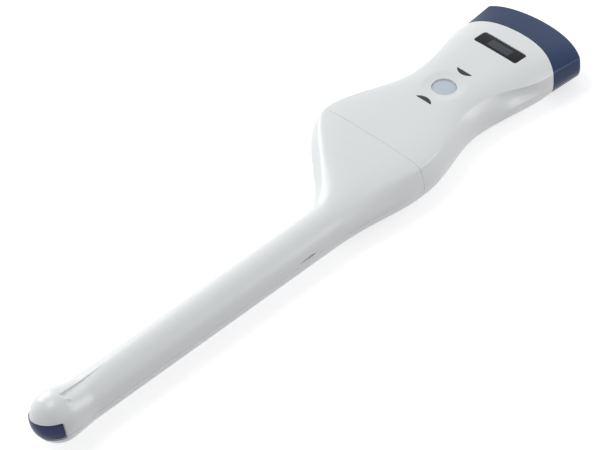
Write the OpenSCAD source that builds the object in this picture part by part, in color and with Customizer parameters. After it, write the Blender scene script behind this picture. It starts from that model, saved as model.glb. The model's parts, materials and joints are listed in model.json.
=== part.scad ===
// Wireless ultrasound probe with a convex head on the handle and a cavity head on a long shaft.
// Frame: X runs from the cavity tip to the convex face, Z is up, the underside lies at Z = 0.
// Stations are distances behind the convex face, measured back towards the cavity tip.

/* [Overall] */
// Length from the cavity tip to the convex face
overall_l = 397; // [385:1:425]
// Wall of the handle shells
wall_t = 2.2; // [1.8:0.1:2.4]
// Wall of the shaft shells
shaft_wall_t = 2; // [1.6:0.1:2.4]

/* [Handle outline] */
// Station of the seam between handle and shaft module
handle_l = 141; // [139:1:146]
// Height of the handle over its button
handle_h = 26.6; // [26.2:0.1:28]
// Extra height at the shoulder
shoulder_rise = 0.9; // [0:0.1:1.5]
// Width at the joint with the convex nose
head_w = 64.6; // [62:0.2:68]
// Width of the waist
waist_w = 54; // [53:0.5:58]
// Width of the shoulder
shoulder_w = 76; // [72:1:82]
// Station of the waist
waist_s = 83; // [79:1:87]
// Distance of the shoulder in front of the seam
shoulder_lead = 3; // [2:0.5:5]
// Height of the widest line, also the height of the shaft axis
axis_h = 14; // [13.6:0.1:14.4]
// Radius of the lower corners
low_corner_r = 14; // [12:0.5:15]
// Height of the parting line of the handle
handle_split_h = 8; // [7:0.2:9]

/* [Ridge] */
// Drop of the side ridge below the top along the handle
ridge_drop = 2.6; // [2:0.1:3.6]
// Drop of the side ridge below the top at the head
head_ridge_drop = 6; // [5.7:0.1:6.8]
// Inset of the ridge from the widest line
ridge_in = 6; // [5:0.1:7]
// Inset of the ridge at the head
head_ridge_in = 1.6; // [1:0.1:2.4]
// Depth of the cove under the ridge near the head
cove_t = 1.6; // [0:0.1:2]
// Station where the ridge starts to rise
ridge_start_s = 38; // [36:1:42]
// Station where the ridge reaches its full height
ridge_end_s = 74; // [70:1:78]

/* [Convex nose] */
// Radius of the convex face
convex_r = 60; // [58:1:64]
// Length of the nose on the centre line
nose_l = 20; // [19:0.5:21]
// Radius of the joint line between nose and handle
joint_r = 52; // [50:1:56]
// Extra half width of the nose at its front corners
nose_flare = 1.8; // [1:0.1:2.5]
// Drop of the top towards the convex face
nose_drop = 5.6; // [5:0.1:5.8]
// Rise of the underside towards the convex face
nose_lift = 3.2; // [2:0.1:3.6]
// Length of the slope behind the convex face
slope_l = 40; // [38:1:44]
// Depth of the spigot that enters the handle
spigot_l = 4; // [3:0.2:5]
// Margin of the convex face above and below the lens opening
lens_margin = 2.3; // [1.9:0.1:2.9]
// Half angle of the lens opening
lens_half_angle = 29.5; // [28:0.5:30]
// Thickness of the lens
lens_t = 1.8; // [1.4:0.1:2.2]
// Rise of the lens across its height
lens_bulge = 0.5; // [0.2:0.1:0.8]
// Thickness of the piezo layer with its matching layers
array_t = 1.2; // [0.8:0.1:1.6]
// Thickness of the backing block
backing_t = 6; // [5:0.5:7]

/* [Shaft] */
// Diameter of the shaft
shaft_d = 22.4; // [21.6:0.1:23.2]
// Sideways offset of the shaft axis from the handle's middle plane
shaft_off = 22; // [20:0.5:24]
// Length of the blend from the seam to the straight shaft
neck_l = 62; // [56:1:70]
// Distance behind the seam where the near flank starts to draw in
near_delay = 7; // [4:1:10]
// Diameter of the ball tip
tip_d = 26.4; // [25:0.1:27]
// Rise of the ball centre over the shaft axis
tip_rise = 1.8; // [1:0.1:2]
// Length of the flare between shaft and ball centre
flare_l = 18; // [16:1:22]
// Width of the cavity lens
cavity_lens_w = 23.4; // [22:0.2:24]
// Height of the cavity lens
cavity_lens_h = 8.2; // [7.6:0.1:8.6]
// Thickness of the cavity lens
cavity_lens_t = 1.4; // [1.2:0.1:1.8]
// Half angle of the cavity array
cavity_half_angle = 58; // [54:1:60]

/* [Guide features] */
// Length of the guide recess behind the ball
recess_l = 26; // [22:1:30]
// Station of the deep end of the guide recess
recess_end_s = 378; // [374:0.5:379]
// Depth of the guide recess at its deep end, below the top line of the shaft
recess_t = 0.8; // [0.5:0.1:1]
// Distance of the recess wall from the shaft axis, towards the far side
recess_wall_off = 1.7; // [1:0.1:2.5]
// Diameter of the locating dimple
dimple_d = 2.4; // [2:0.1:2.8]
// Depth of the locating dimple
dimple_t = 0.5; // [0.3:0.1:0.7]
// Distance of the locating dimple from the recess wall
dimple_off = 5.4; // [4:0.1:6]
// Station of the latch notch on the near flank
notch_s = 222; // [215:1:235]
// Length of the latch notch
notch_l = 9; // [7:0.5:11]
// Height of the latch notch
notch_h = 1.8; // [1.4:0.1:2.2]
// Depth of the latch notch
notch_t = 0.9; // [0.6:0.1:1.2]

/* [Display] */
// Station of the display's middle
display_s = 38.8; // [38:0.1:40]
// Width of the display window
window_w = 29.8; // [29:0.1:31]
// Length of the display window along the handle
window_l = 10; // [9.6:0.1:10.6]
// Thickness of the display window
window_t = 1; // [0.8:0.1:1.2]
// Corner radius of the display window
window_r = 1.6; // [1:0.1:2]
// Width of the display module
oled_w = 30; // [29:0.1:30.6]
// Length of the display module along the handle
oled_l = 11.5; // [11:0.1:11.8]
// Thickness of the display module
oled_t = 1.45; // [1.2:0.05:1.6]

/* [Button] */
// Station of the button
button_s = 84; // [83:1:86]
// Diameter of the button cap
button_d = 13.5; // [12:0.1:14]
// Radial clearance of the button in its bore
button_gap = 0.15; // [0.1:0.01:0.25]
// Travel of the button
button_travel = 0.4; // [0.3:0.05:0.5]
// Diameter of the dish round the button
dish_d = 25; // [23:0.5:26]
// Depth of the dish
dish_t = 1.2; // [0.8:0.1:1.4]
// Height of the button cap above its flange
button_cap_h = 2.7; // [2.5:0.1:2.9]
// Thickness of the button flange
button_flange_t = 0.9; // [0.7:0.1:1.1]
// Overhang of the button flange
button_flange_w = 1.4; // [1:0.1:1.6]
// Diameter of the button stem
button_stem_d = 3.6; // [3:0.1:4.2]

/* [Indicators] */
// Distance of each light guide from the button
guide_off = 15; // [14.5:0.1:16]
// Length of a light guide's straight edge
guide_w = 10.2; // [9:0.1:11]
// Bulge of a light guide
guide_l = 2.8; // [2.4:0.1:3.2]

/* [Boards] */
// Thickness of the circuit boards
board_t = 1.6; // [1.4:0.1:1.8]
// Drop of the main board's top face below the handle's top
main_board_drop = 8.6; // [8.4:0.1:9]
// Distance of the main board's rear edge in front of the seam
main_board_lead = 15; // [14:0.5:17]
// Width of the main board
main_board_w = 44; // [42:0.5:44.5]
// Station of the main board's front edge
main_board_s = 47; // [46:1:48]
// Share of the room between floor and main board that lies under the front board
front_board_share = 0.338; // [0.32:0.002:0.36]
// Length of the front board
front_board_l = 40; // [38:1:42]
// Width of the front board
front_board_w = 42.4; // [42:0.2:42.8]
// Station of the front board's front edge
front_board_s = 41; // [40:0.5:42]
// Diameter of the board posts
post_d = 4.4; // [4:0.1:4.6]
// Distance of the posts from the middle plane
post_y = 19; // [18.9:0.05:19.2]
// Thread diameter of the board screws
screw_d = 2; // [1.6:0.1:2.2]
// Head diameter of the board screws
screw_head_d = 3.8; // [3.4:0.1:4]

/* [Battery] */
// Distance of the battery's rear end in front of the seam
battery_lead = 8; // [7:0.5:10]
// Width of the battery
battery_w = 33; // [31:0.5:33.2]
// Room between the battery and the main board
battery_room = 3.05; // [2.6:0.05:3.8]
// Station of the battery's front end
battery_s = 85; // [84:1:87]
// Thickness of the charging coil
coil_t = 0.8; // [0.6:0.1:1]
// Thickness of the ferrite sheet
ferrite_t = 0.5; // [0.3:0.1:0.7]

/* [Clearances] */
// Gap between pieces that seat on each other
seat_gap = 0.15; // [0.1:0.01:0.2]
// Visible gap at the parting lines
parting_gap = 0.12; // [0.08:0.01:0.2]
// Visible gap at the seam between handle and shaft module
seam_gap = 0.4; // [0.3:0.05:0.5]

/* [Hidden] */

// Overrun of cuts past the faces that they open
over = 1;
// Depth by which a blended end sits inside the tube that it joins, and its inset there
weld_l = 1;
weld_in = 0.02;
// Clearance of the deep ends of small parts
fit_gap = 0.2;
// Shape exponents and shares of the outline
slope_share = 1.3;
crown_share = 4;
side_share = 1.5;
rise_share = 0.7;
cove_fade_share = 0.5;
ridge_angle = 45;
// Counts of points along each stretch of a section
top_n = 6;
side_n = 5;
low_n = 5;
// Counts of stations along each stretch
handle_n = 22;
neck_n = 14;
flare_n = 6;
ball_n = 7;
nose_n = 5;

front_x = overall_l / 2;
ridge_h = handle_h - ridge_drop;
head_ridge_h = handle_h - head_ridge_drop;
main_board_h = handle_h - main_board_drop;
lens_h = handle_h - nose_drop - nose_lift - 2 * lens_margin;
seam_s = handle_l;
shoulder_s = handle_l - shoulder_lead;
neck_s = handle_l + neck_l;
near_s = handle_l + near_delay;
corner_s = convex_r - sqrt(pow(convex_r, 2) - pow(head_w / 2 + nose_flare, 2));
joint_c = nose_l + joint_r;
joint_s = joint_c - sqrt(pow(joint_r, 2) - pow(head_w / 2, 2));
tip_r = tip_d / 2;
tip_c = overall_l - tip_r;
shaft_r = shaft_d / 2;
flare_s = tip_c - flare_l;
last_ball_angle = 79;
shoulder_ridge_in = 2;

function mix(a, b, t) = a + (b - a) * t;
function ease(u) = let (v = min(max(u, 0), 1)) v * v * (3 - 2 * v);
function span(s, a, b) = ease((s - a) / (b - a));
function slope(s) = pow(max(1 - s / slope_l, 0), slope_share);
function x_at(s) = front_x - s;
function backwards(list) = [for (i = [len(list) - 1:-1:0]) list[i]];

// Half width of the symmetric handle outline at a station
function half_w(s) =
    s < joint_s ? head_w / 2 + nose_flare * (joint_s - s) / (joint_s - corner_s)
    : s < waist_s ? mix(head_w, waist_w, span(s, joint_s, waist_s)) / 2
    : mix(waist_w, shoulder_w, span(s, waist_s, shoulder_s)) / 2;
function far_y(s) = s < shoulder_s ? half_w(s)
    : mix(shoulder_w / 2, shaft_r - shaft_off, span(s, shoulder_s, neck_s));
function near_y(s) = s < near_s ? half_w(s)
    : mix(shoulder_w / 2, shaft_r + shaft_off, span(s, near_s, neck_s));
function neck_share(s) = span(s, seam_s, neck_s);
function shoulder_h() = handle_h + shoulder_rise;
function crest_z(s) =
    mix(handle_h, shoulder_h(), span(s, mix(waist_s, shoulder_s, 1 - rise_share), shoulder_s))
    - nose_drop * slope(s) + (axis_h + shaft_r - shoulder_h()) * neck_share(s);
function base_z(s) = nose_lift * slope(s) + (axis_h - shaft_r) * neck_share(s);
function ridge_z(s) = mix(head_ridge_h, ridge_h, span(s, ridge_start_s, ridge_end_s));
function ridge_inset(s) = mix(head_ridge_in, ridge_in, span(s, ridge_start_s, ridge_end_s))
    + shoulder_ridge_in * span(s, waist_s, shoulder_s);
function cove(s) = cove_t * (span(s, joint_s, mix(joint_s, ridge_end_s, 1 - cove_fade_share))
    - span(s, mix(joint_s, ridge_end_s, cove_fade_share), ridge_end_s));

// One side of a section at a station, from the crest down to the widest line, drawn in by t.
// The ridged handle form turns into an ellipse along the neck.
function upper_side(s, sign, t) =
    let (
        c = (far_y(s) - near_y(s)) / 2,
        h = (far_y(s) + near_y(s)) / 2 - t,
        zt = crest_z(s) - t,
        zr = min(ridge_z(s), crest_z(s)) - t,
        inset = ridge_inset(s),
        k = neck_share(s)
    )
    concat(
        [for (i = [1:top_n])
            let (u = i / top_n, a = 90 - (90 - ridge_angle) * u)
            [c + sign * mix((h - inset) * u, h * cos(a), k),
             mix(zt - (zt - zr) * pow(u, crown_share), axis_h + (zt - axis_h) * sin(a), k)]],
        [for (i = [1:side_n])
            let (u = i / side_n, a = ridge_angle * (1 - u))
            [c + sign * mix(h - inset * pow(1 - u, side_share) - cove(s) * sin(180 * u), h * cos(a), k),
             mix(mix(zr, axis_h, u), axis_h + (zt - axis_h) * sin(a), k)]]
    );

// One side of a section from below the widest line down to the flat underside
function lower_point(s, sign, t, a) =
    let (
        c = (far_y(s) - near_y(s)) / 2,
        h = (far_y(s) + near_y(s)) / 2 - t,
        zb = base_z(s) + t,
        r = mix(low_corner_r - t, h, neck_share(s))
    )
    [c + sign * (h - r * (1 - cos(a))), axis_h - (axis_h - zb) * sin(a)];
function split_angle(s, t) = asin((axis_h - handle_split_h) / (axis_h - base_z(s) - t));
function upper_low(s, sign, t) = [for (i = [1:2]) lower_point(s, sign, t, split_angle(s, t) * i / 2)];
function lower_low(s, sign, t) =
    [for (i = [0:low_n]) lower_point(s, sign, t, mix(split_angle(s, t), 90, i / low_n))];
function neck_low(s, sign, t) = [for (i = [0:low_n + 2]) lower_point(s, sign, t, 90 * i / (low_n + 2))];
function crest(s, t) = [[(far_y(s) - near_y(s)) / 2, crest_z(s) - t]];
function keel(s, t) = [[(far_y(s) - near_y(s)) / 2, base_z(s) + t]];

// Curves of a section from the near side round to the far side, with the ends set to one height
function level_ends(list, z) =
    [for (i = [0:len(list) - 1]) [list[i][0], i == 0 || i == len(list) - 1 ? z : list[i][1]]];
function over_curve(near_list, s, t, far_list) = concat(backwards(near_list), crest(s, t), far_list);
function under_curve(near_list, s, t, far_list) = concat(far_list, keel(s, t), backwards(near_list));
function handle_over(s, t) = level_ends(over_curve(
    concat(upper_side(s, -1, t), upper_low(s, -1, t)), s, t,
    concat(upper_side(s, 1, t), upper_low(s, 1, t))), handle_split_h + parting_gap / 2);
function handle_under(s, t) = level_ends(under_curve(
    lower_low(s, -1, t), s, t, lower_low(s, 1, t)), handle_split_h - parting_gap / 2);
function neck_over(s, t) = level_ends(over_curve(
    upper_side(s, -1, t), s, t, upper_side(s, 1, t)), axis_h + parting_gap / 2);
function neck_under(s, t) = level_ends(under_curve(
    neck_low(s, -1, t), s, t, neck_low(s, 1, t)), axis_h - parting_gap / 2);
// The whole closed section
function full_ring(s, t) = concat(
    over_curve(concat(upper_side(s, -1, t), upper_low(s, -1, t)), s, t,
        concat(upper_side(s, 1, t), upper_low(s, 1, t))),
    [for (i = [1:low_n]) lower_low(s, 1, t)[i]],
    keel(s, t),
    [for (i = [low_n:-1:1]) lower_low(s, -1, t)[i]]);

// Arcs of the flare and the ball, cut at the parting plane
function ball_ring(s, c, r, upper) =
    let (g = (upper ? 1 : -1) * parting_gap / 2, a = asin((axis_h + g - c) / r),
        n = upper ? 2 * (top_n + side_n) : 2 * (low_n + 2) + 2)
    [for (i = [0:n]) let (b = upper ? mix(180 - a, a, i / n) : mix(360 + a, 180 - a, i / n))
        [x_at(s), -shaft_off + r * cos(b), c + r * sin(b)]];
function placed(s, list) = [for (p = list) [x_at(s), p[0], p[1]]];

// Solid between closed rings of equal length, capped by strips when each ring is an outer
// curve followed by an inner one, and by fans from its first point otherwise.
module loft(rings, strip) {
    n = len(rings[0]);
    m = len(rings);
    half = n / 2;
    last = (m - 1) * n;
    sides = [for (k = [0:m - 2]) for (i = [0:n - 1])
        let (a = k * n + i, b = k * n + (i + 1) % n)
        each [[a, b + n, b], [a, a + n, b + n]]];
    caps = strip
        ? [for (i = [0:half - 2]) each [
            [i, n - 2 - i, n - 1 - i], [i, i + 1, n - 2 - i],
            [last + i, last + n - 1 - i, last + n - 2 - i],
            [last + i, last + n - 2 - i, last + i + 1]]]
        : [for (i = [1:n - 2]) each [[0, i, i + 1], [last, last + i + 1, last + i]]];
    polyhedron(points = [for (r = rings) each r], faces = concat(sides, caps));
}

function stations(a, b, n) = [for (i = [0:n]) mix(a, b, i / n)];
function with_inner(outer, inner) = concat(outer, backwards(inner));
function neck_wall(s) = mix(wall_t, shaft_wall_t, neck_share(s));

// Heights of the stack over the handle's floor
floor_h = wall_t;
coil_h = floor_h + seat_gap;
ferrite_h = coil_h + coil_t + seat_gap;
battery_h = ferrite_h + ferrite_t + seat_gap;
main_board_low = main_board_h - board_t;
front_board_low = mix(floor_h, main_board_low, front_board_share);
front_board_h = front_board_low + board_t;
battery_t = main_board_low - battery_room - battery_h;
part_h = main_board_h + seat_gap;

// Lengths that follow the seam
main_board_l = handle_l - main_board_lead - main_board_s;
battery_l = handle_l - battery_lead - battery_s;

// Places of the board posts
front_post_s = main_board_s + post_d;
mid_post_s = front_board_s + front_board_l - post_d;
rear_post_s = main_board_s + main_board_l - post_d;
mid_post_y = 17;
post_places = [
    [front_post_s, post_y], [front_post_s, -post_y], [mid_post_s, mid_post_y], [mid_post_s, -mid_post_y],
    [rear_post_s, post_y], [rear_post_s, -post_y]
];
low_post_n = 4;
foot_share = 0.8;
screw_gap = 0.1;
screw_hold_share = 0.85;
rear_screw_hold = 7;
rear_hole_l = 9;
screw_head_t = 1.2;
screw_socket_d = 1.5;
boss_floor_h = wall_t + screw_gap * 4;

// Display seat
window_sink = 0.4;
window_ledge_w = 1.2;
window_ledge_t = 0.6;
display_gasket_t = 0.4;
display_gasket_w = 1;
window_rise = crest_z(display_s + window_l / 2) - crest_z(display_s - window_l / 2);
window_tilt = atan(window_rise / window_l);
window_top_h = crest_z(display_s + window_l / 2) - window_rise / 2 - window_sink;

// Button and its bore
button_top_h = handle_h - dish_t - seat_gap;
button_under_h = button_top_h - button_cap_h;
button_flange_r = button_d / 2 + button_flange_w;
seal_in_r = button_flange_r + 2 * fit_gap;
seal_w = 1.2;
seal_t = 0.8;
boss_r = seal_in_r + seal_w;
switch_body_t = 0.6;
switch_body_w = 6;
switch_dome_d = 3.4;
switch_dome_t = 0.35;
switch_top_h = part_h + switch_body_t + switch_dome_t;
button_crown = 0.25;

// Indicator light guides
guide_r = (pow(guide_w / 2, 2) + pow(guide_l, 2)) / (2 * guide_l);
guide_flange_w = 0.8;
guide_flange_t = 1;
led_t = 0.6;
led_w = 3.2;
led_l = 1.6;

// Parts on the boards
processor_l = 13;
processor_w = 26;
processor_t = 2.6;
front_end_l = 18;
front_end_w = 28;
front_end_t = 3.8;
shield_r = 1;
shield_step = 0.4;
stack_plug_l = 5;
stack_plug_w = 16;
flex_plug_l = 5;
flex_plug_w = 25;
flex_plug_t = 1.8;
radio_l = 9;
radio_w = 12;
radio_t = 2.2;
radio_y = 10.5;
antenna_l = 3;
antenna_w = 9;
antenna_t = 1.2;
antenna_y = 11;
cable_d = 5;
cable_side = 12;
cable_plug_l = 7;
cable_plug_w = 9;
cable_plug_t = 4.6;
cable_sides = 12;
cable_n = 11;
cable_bend_l = 12;
spacer_l = 6;
spacer_n = 3;

// Other inner parts
battery_r = 1.5;
pad_in = 10;
pad_w = 24;
stop_t = 1.4;
stop_w = 20;
stop_h = 4;
ferrite_in = 6.5;
coil_w = 31;
coil_in = 1;
coil_band_share = 0.18;
coil_corner_share = 0.27;
sleeve_l = 9;
sleeve_t = 1.6;
seal_ring_in = 0.5;
seal_ring_t = 1.2;
gasket_in = 0.85;
gasket_w = 0.6;
gasket_h = 0.6;
gasket_n = 18;
flex_w = 24;
flex_t = 0.3;
flex_bend_l = 7;

nose_mid_h = (crest_z(0) + base_z(0)) / 2;
lens_in_r = convex_r - lens_t;
array_out_r = lens_in_r - seat_gap;
array_in_r = array_out_r - array_t;
backing_out_r = array_in_r - seat_gap;
backing_in_r = backing_out_r - backing_t;
stack_angle = lens_half_angle - 1.2;
cavity_array_t = 1;
cavity_array_h = cavity_lens_h - 1.2;
cavity_seat_l = 1.5;
cavity_out_r = tip_r - cavity_lens_t - seat_gap;
cavity_backing_out_r = cavity_out_r - cavity_array_t - seat_gap;
cavity_backing_in_r = 4;

module at(s, y, z) {
    translate([x_at(s), y, z]) children();
}

module plate(l, w, t, r) {
    linear_extrude(t) {
        square([l - 2 * r, w], center = true);
        square([l, w - 2 * r], center = true);
        for (x = [-1, 1], y = [-1, 1])
            translate([x * (l / 2 - r), y * (w / 2 - r)]) circle(r = r, $fn = 32);
    }
}

// Everything in front of the joint line, with the line moved forwards by g
module front_of_joint(g) {
    difference() {
        at(slope_l, -shoulder_w, -over) cube([slope_l + over, 2 * shoulder_w, handle_h + 3 * over]);
        at(joint_c, 0, -2 * over) cylinder(r = joint_r + g, h = handle_h + 5 * over, $fn = 200);
    }
}

module handle_half(upper) {
    ends = stations(nose_l - 2 * over, seam_s - seam_gap / 2, handle_n);
    difference() {
        loft([for (s = ends) placed(s, upper
            ? with_inner(handle_over(s, 0), handle_over(s, wall_t))
            : with_inner(handle_under(s, 0), handle_under(s, wall_t)))], true);
        front_of_joint(-parting_gap / 2);
    }
}

module at_display() {
    at(display_s, 0, window_top_h) rotate([0, window_tilt, 0]) children();
}

module crescent(grow) {
    translate([-guide_l / 2, 0]) intersection() {
        translate([guide_r, 0]) circle(r = guide_r + grow, $fn = 96);
        translate([-grow, -guide_r]) square([guide_l + 2 * grow, 2 * guide_r]);
    }
}

// A light guide's plan at one side of the button, its bulge facing the button
module at_guide(side) {
    at(button_s - side * guide_off, 0, 0) mirror([side < 0 ? 1 : 0, 0, 0]) children();
}

module dish() {
    r = (pow(dish_d / 2, 2) + pow(dish_t, 2)) / (2 * dish_t);
    at(button_s, 0, handle_h - dish_t + r) sphere(r = r, $fn = 200);
}

module top_shell() {
    color("whitesmoke") difference() {
        union() {
            handle_half(true);
            at(button_s, 0, button_under_h + seat_gap)
                cylinder(r = boss_r, h = handle_h - dish_t - button_under_h - 2 * seat_gap, $fn = 96);
        }
        dish();
        at(button_s, 0, axis_h) cylinder(r = button_d / 2 + button_gap, h = handle_h, $fn = 96);
        at_display() {
            translate([0, 0, -window_t])
                plate(window_l + 2 * seat_gap, window_w + 2 * seat_gap, handle_h, window_r + seat_gap);
            translate([0, 0, -handle_h / 2])
                plate(window_l - 2 * window_ledge_w, window_w - 2 * window_ledge_w, handle_h, window_r);
            translate([0, 0, -window_t - window_ledge_t - wall_t])
                plate(oled_l + 2 * fit_gap, oled_w + 2 * fit_gap, wall_t, seat_gap);
        }
        for (side = [-1, 1])
            at_guide(side) translate([0, 0, axis_h]) linear_extrude(handle_h) crescent(seat_gap);
    }
}

module bottom_shell() {
    color("whitesmoke") difference() {
        union() {
            handle_half(false);
            for (i = [0:len(post_places) - 1])
                at(post_places[i][0], post_places[i][1], wall_t * foot_share) cylinder(
                    d = post_d,
                    h = (i < low_post_n ? front_board_low : main_board_low) - seat_gap - wall_t * foot_share,
                    $fn = 48);
            for (s = [battery_s - fit_gap, battery_s + battery_l + fit_gap + stop_t])
                at(s, -stop_w / 2, wall_t * foot_share) cube([stop_t, stop_w, stop_h]);
        }
        for (i = [0:len(post_places) - 1])
            at(post_places[i][0], post_places[i][1],
                i < low_post_n ? boss_floor_h : main_board_low - rear_hole_l)
                cylinder(d = screw_d + 2 * screw_gap, h = handle_h, $fn = 32);
        gasket_strips(screw_gap, gasket_h + seat_gap);
    }
}

// Strips along both flanks, sunk into the rim of the lower shell
module gasket_strips(grow, depth) {
    run = stations(slope_l, seam_s - sleeve_l, gasket_n);
    edge = [for (s = run) [x_at(s), lower_point(s, 1, 0, split_angle(s, 0))[0] - gasket_in]];
    for (side = [0, 1])
        translate([0, 0, handle_split_h - parting_gap / 2 - depth]) mirror([0, side, 0])
            linear_extrude(depth + (grow > 0 ? over : 0)) polygon(concat(
                [for (p = edge) [p[0], p[1] + grow]],
                backwards([for (p = edge) [p[0], p[1] - gasket_w - grow]])));
}

module shell_gasket() {
    color("dimgray") gasket_strips(0, gasket_h);
}

module sector(r1, r2, h, half_angle) {
    at(convex_r, 0, nose_mid_h - h / 2) rotate([0, 0, -half_angle])
        rotate_extrude(angle = 2 * half_angle, $fn = 200) translate([r1, 0]) square([r2 - r1, h]);
}

module convex_nose() {
    inset = wall_t + fit_gap;
    color("midnightblue") difference() {
        union() {
            difference() {
                intersection() {
                    loft([for (s = stations(-over, slope_l, nose_n + 3)) placed(s, full_ring(s, 0))], false);
                    at(convex_r, 0, -over) cylinder(r = convex_r, h = handle_h + 2 * over, $fn = 240);
                }
                at(joint_c, 0, -over)
                    cylinder(r = joint_r + parting_gap / 2, h = handle_h + 2 * over, $fn = 200);
            }
            difference() {
                intersection() {
                    loft([for (s = stations(nose_l / 2, slope_l, nose_n)) placed(s, full_ring(s, inset))], false);
                    at(joint_c, 0, -over) cylinder(r = joint_r + over, h = handle_h + 2 * over, $fn = 200);
                }
                at(joint_c, 0, -2 * over)
                    cylinder(r = joint_r - spigot_l, h = handle_h + 4 * over, $fn = 200);
            }
        }
        sector(convex_r / 3, convex_r + over, lens_h, lens_half_angle);
    }
}

module convex_lens() {
    h = lens_h - 2 * seat_gap;
    bulge_r = (pow(h / 2, 2) + pow(lens_bulge, 2)) / (2 * lens_bulge);
    half_angle = lens_half_angle - asin(seat_gap / convex_r);
    color("slategray") at(convex_r, 0, nose_mid_h) rotate([0, 0, -half_angle])
        rotate_extrude(angle = 2 * half_angle, $fn = 240) intersection() {
            translate([lens_in_r, -h / 2]) square([lens_t + over, h]);
            translate([convex_r - bulge_r, 0]) circle(r = bulge_r, $fn = 240);
        }
}

module convex_array() {
    color("goldenrod") sector(array_in_r, array_out_r, lens_h - 2 * fit_gap, stack_angle);
}

module convex_backing() {
    color("darkslategray") sector(backing_in_r, backing_out_r, lens_h - 2 * fit_gap, stack_angle);
}

module convex_flex() {
    plug_s = front_board_s + seat_gap;
    low = front_board_h + seat_gap + flex_plug_t / 2;
    start = convex_r - sqrt(pow(backing_in_r, 2) - pow(flex_w / 2, 2)) + seat_gap;
    color("darkorange") translate([0, flex_w / 2, 0]) rotate([90, 0, 0]) linear_extrude(flex_w) polygon([
        [x_at(start), nose_mid_h], [x_at(plug_s - flex_bend_l), nose_mid_h], [x_at(plug_s), low],
        [x_at(plug_s), low - flex_t], [x_at(plug_s - flex_bend_l), nose_mid_h - flex_t],
        [x_at(start), nose_mid_h - flex_t]
    ]);
}

module display_window() {
    color("black") at_display() translate([0, 0, seat_gap / 2 - window_t])
        plate(window_l, window_w, window_t - seat_gap / 2, window_r);
}

module display_gasket() {
    color("dimgray") at_display() translate([0, 0, -window_t - window_ledge_t - seat_gap - display_gasket_t])
        difference() {
            plate(oled_l, oled_w, display_gasket_t, seat_gap);
            translate([0, 0, -over]) plate(
                oled_l - 2 * display_gasket_w, oled_w - 2 * display_gasket_w,
                display_gasket_t + 2 * over, seat_gap);
        }
}

module display_module() {
    color("darkslategray") at_display()
        translate([0, 0, -window_t - window_ledge_t - 2 * seat_gap - display_gasket_t - oled_t])
            plate(oled_l, oled_w, oled_t, seat_gap);
}

module power_button() {
    stem_low = switch_top_h + button_travel + seat_gap / 2;
    crown_r = (pow(button_d / 2, 2) + pow(button_crown, 2)) / (2 * button_crown);
    color("lightsteelblue") at(button_s, 0, 0) {
        intersection() {
            translate([0, 0, button_under_h]) cylinder(d = button_d, h = button_cap_h, $fn = 96);
            translate([0, 0, button_top_h - crown_r]) sphere(r = crown_r, $fn = 200);
        }
        translate([0, 0, button_under_h - button_flange_t])
            cylinder(r = button_flange_r, h = button_flange_t, $fn = 96);
        translate([0, 0, stem_low])
            cylinder(d = button_stem_d, h = button_under_h - stem_low - button_flange_t / 2, $fn = 48);
    }
}

module button_seal() {
    color("gray") at(button_s, 0, button_under_h - seal_t) difference() {
        cylinder(r = boss_r, h = seal_t, $fn = 96);
        translate([0, 0, -over]) cylinder(r = seal_in_r, h = seal_t + 2 * over, $fn = 96);
    }
}

module button_switch() {
    color("silver") at(button_s, 0, part_h) {
        translate([-switch_body_w / 2, -switch_body_w / 2, 0])
            cube([switch_body_w, switch_body_w, switch_body_t]);
        cylinder(d = switch_dome_d, h = switch_body_t + switch_dome_t, $fn = 48);
    }
}

module light_guide(side) {
    low = part_h + led_t + 2 * seat_gap;
    color("darkslategray") at_guide(side) {
        translate([0, 0, low]) linear_extrude(handle_h - seat_gap / 2 - low) crescent(0);
        translate([0, 0, handle_h - wall_t - seat_gap - guide_flange_t])
            linear_extrude(guide_flange_t) crescent(guide_flange_w);
    }
}

module convex_light_guide() {
    light_guide(1);
}

module cavity_light_guide() {
    light_guide(-1);
}

module indicator_leds() {
    color("lemonchiffon") for (side = [-1, 1])
        at(button_s - side * guide_off, 0, part_h)
            translate([-led_l / 2, -led_w / 2, 0]) cube([led_l, led_w, led_t]);
}

module board(s, l, w, z) {
    color("darkgreen") difference() {
        at(s + l / 2, 0, z) plate(l, w, board_t, post_d / 4);
        for (p = post_places)
            at(p[0], p[1], z - over) cylinder(d = screw_d + 2 * screw_gap, h = board_t + 2 * over, $fn = 32);
    }
}

module main_board() {
    board(main_board_s, main_board_l, main_board_w, main_board_low);
}

module front_board() {
    board(front_board_s, front_board_l, front_board_w, front_board_low);
}

module board_connector() {
    low = front_board_h + seat_gap;
    color("ivory") {
        at(mid_post_s + stack_plug_l / 2, -stack_plug_w / 2, low)
            cube([stack_plug_l, stack_plug_w, main_board_low - seat_gap - low]);
        at(front_board_s + 2 * seat_gap + flex_plug_l, -flex_plug_w / 2, low)
            cube([flex_plug_l, flex_plug_w, flex_plug_t]);
    }
}

module board_standoffs() {
    low = front_board_h + seat_gap;
    color("silver") for (i = [0:low_post_n - 1])
        at(post_places[i][0], post_places[i][1], low) difference() {
            cylinder(d = post_d, h = main_board_low - seat_gap - low, $fn = 48);
            translate([0, 0, -over]) cylinder(d = screw_d + 2 * screw_gap, h = main_board_h, $fn = 32);
        }
}

module board_screws() {
    color("darkgray") for (i = [0:len(post_places) - 1]) {
        low = i < low_post_n
            ? mix(front_board_low, boss_floor_h, screw_hold_share) : main_board_low - rear_screw_hold;
        at(post_places[i][0], post_places[i][1], 0) difference() {
            union() {
                translate([0, 0, low]) cylinder(d = screw_d, h = part_h + screw_head_t / 2 - low, $fn = 32);
                translate([0, 0, part_h]) cylinder(d = screw_head_d, h = screw_head_t, $fn = 32);
            }
            translate([0, 0, part_h + screw_head_t / 2])
                cylinder(d = screw_socket_d, h = screw_head_t, $fn = 6);
        }
    }
}

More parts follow.
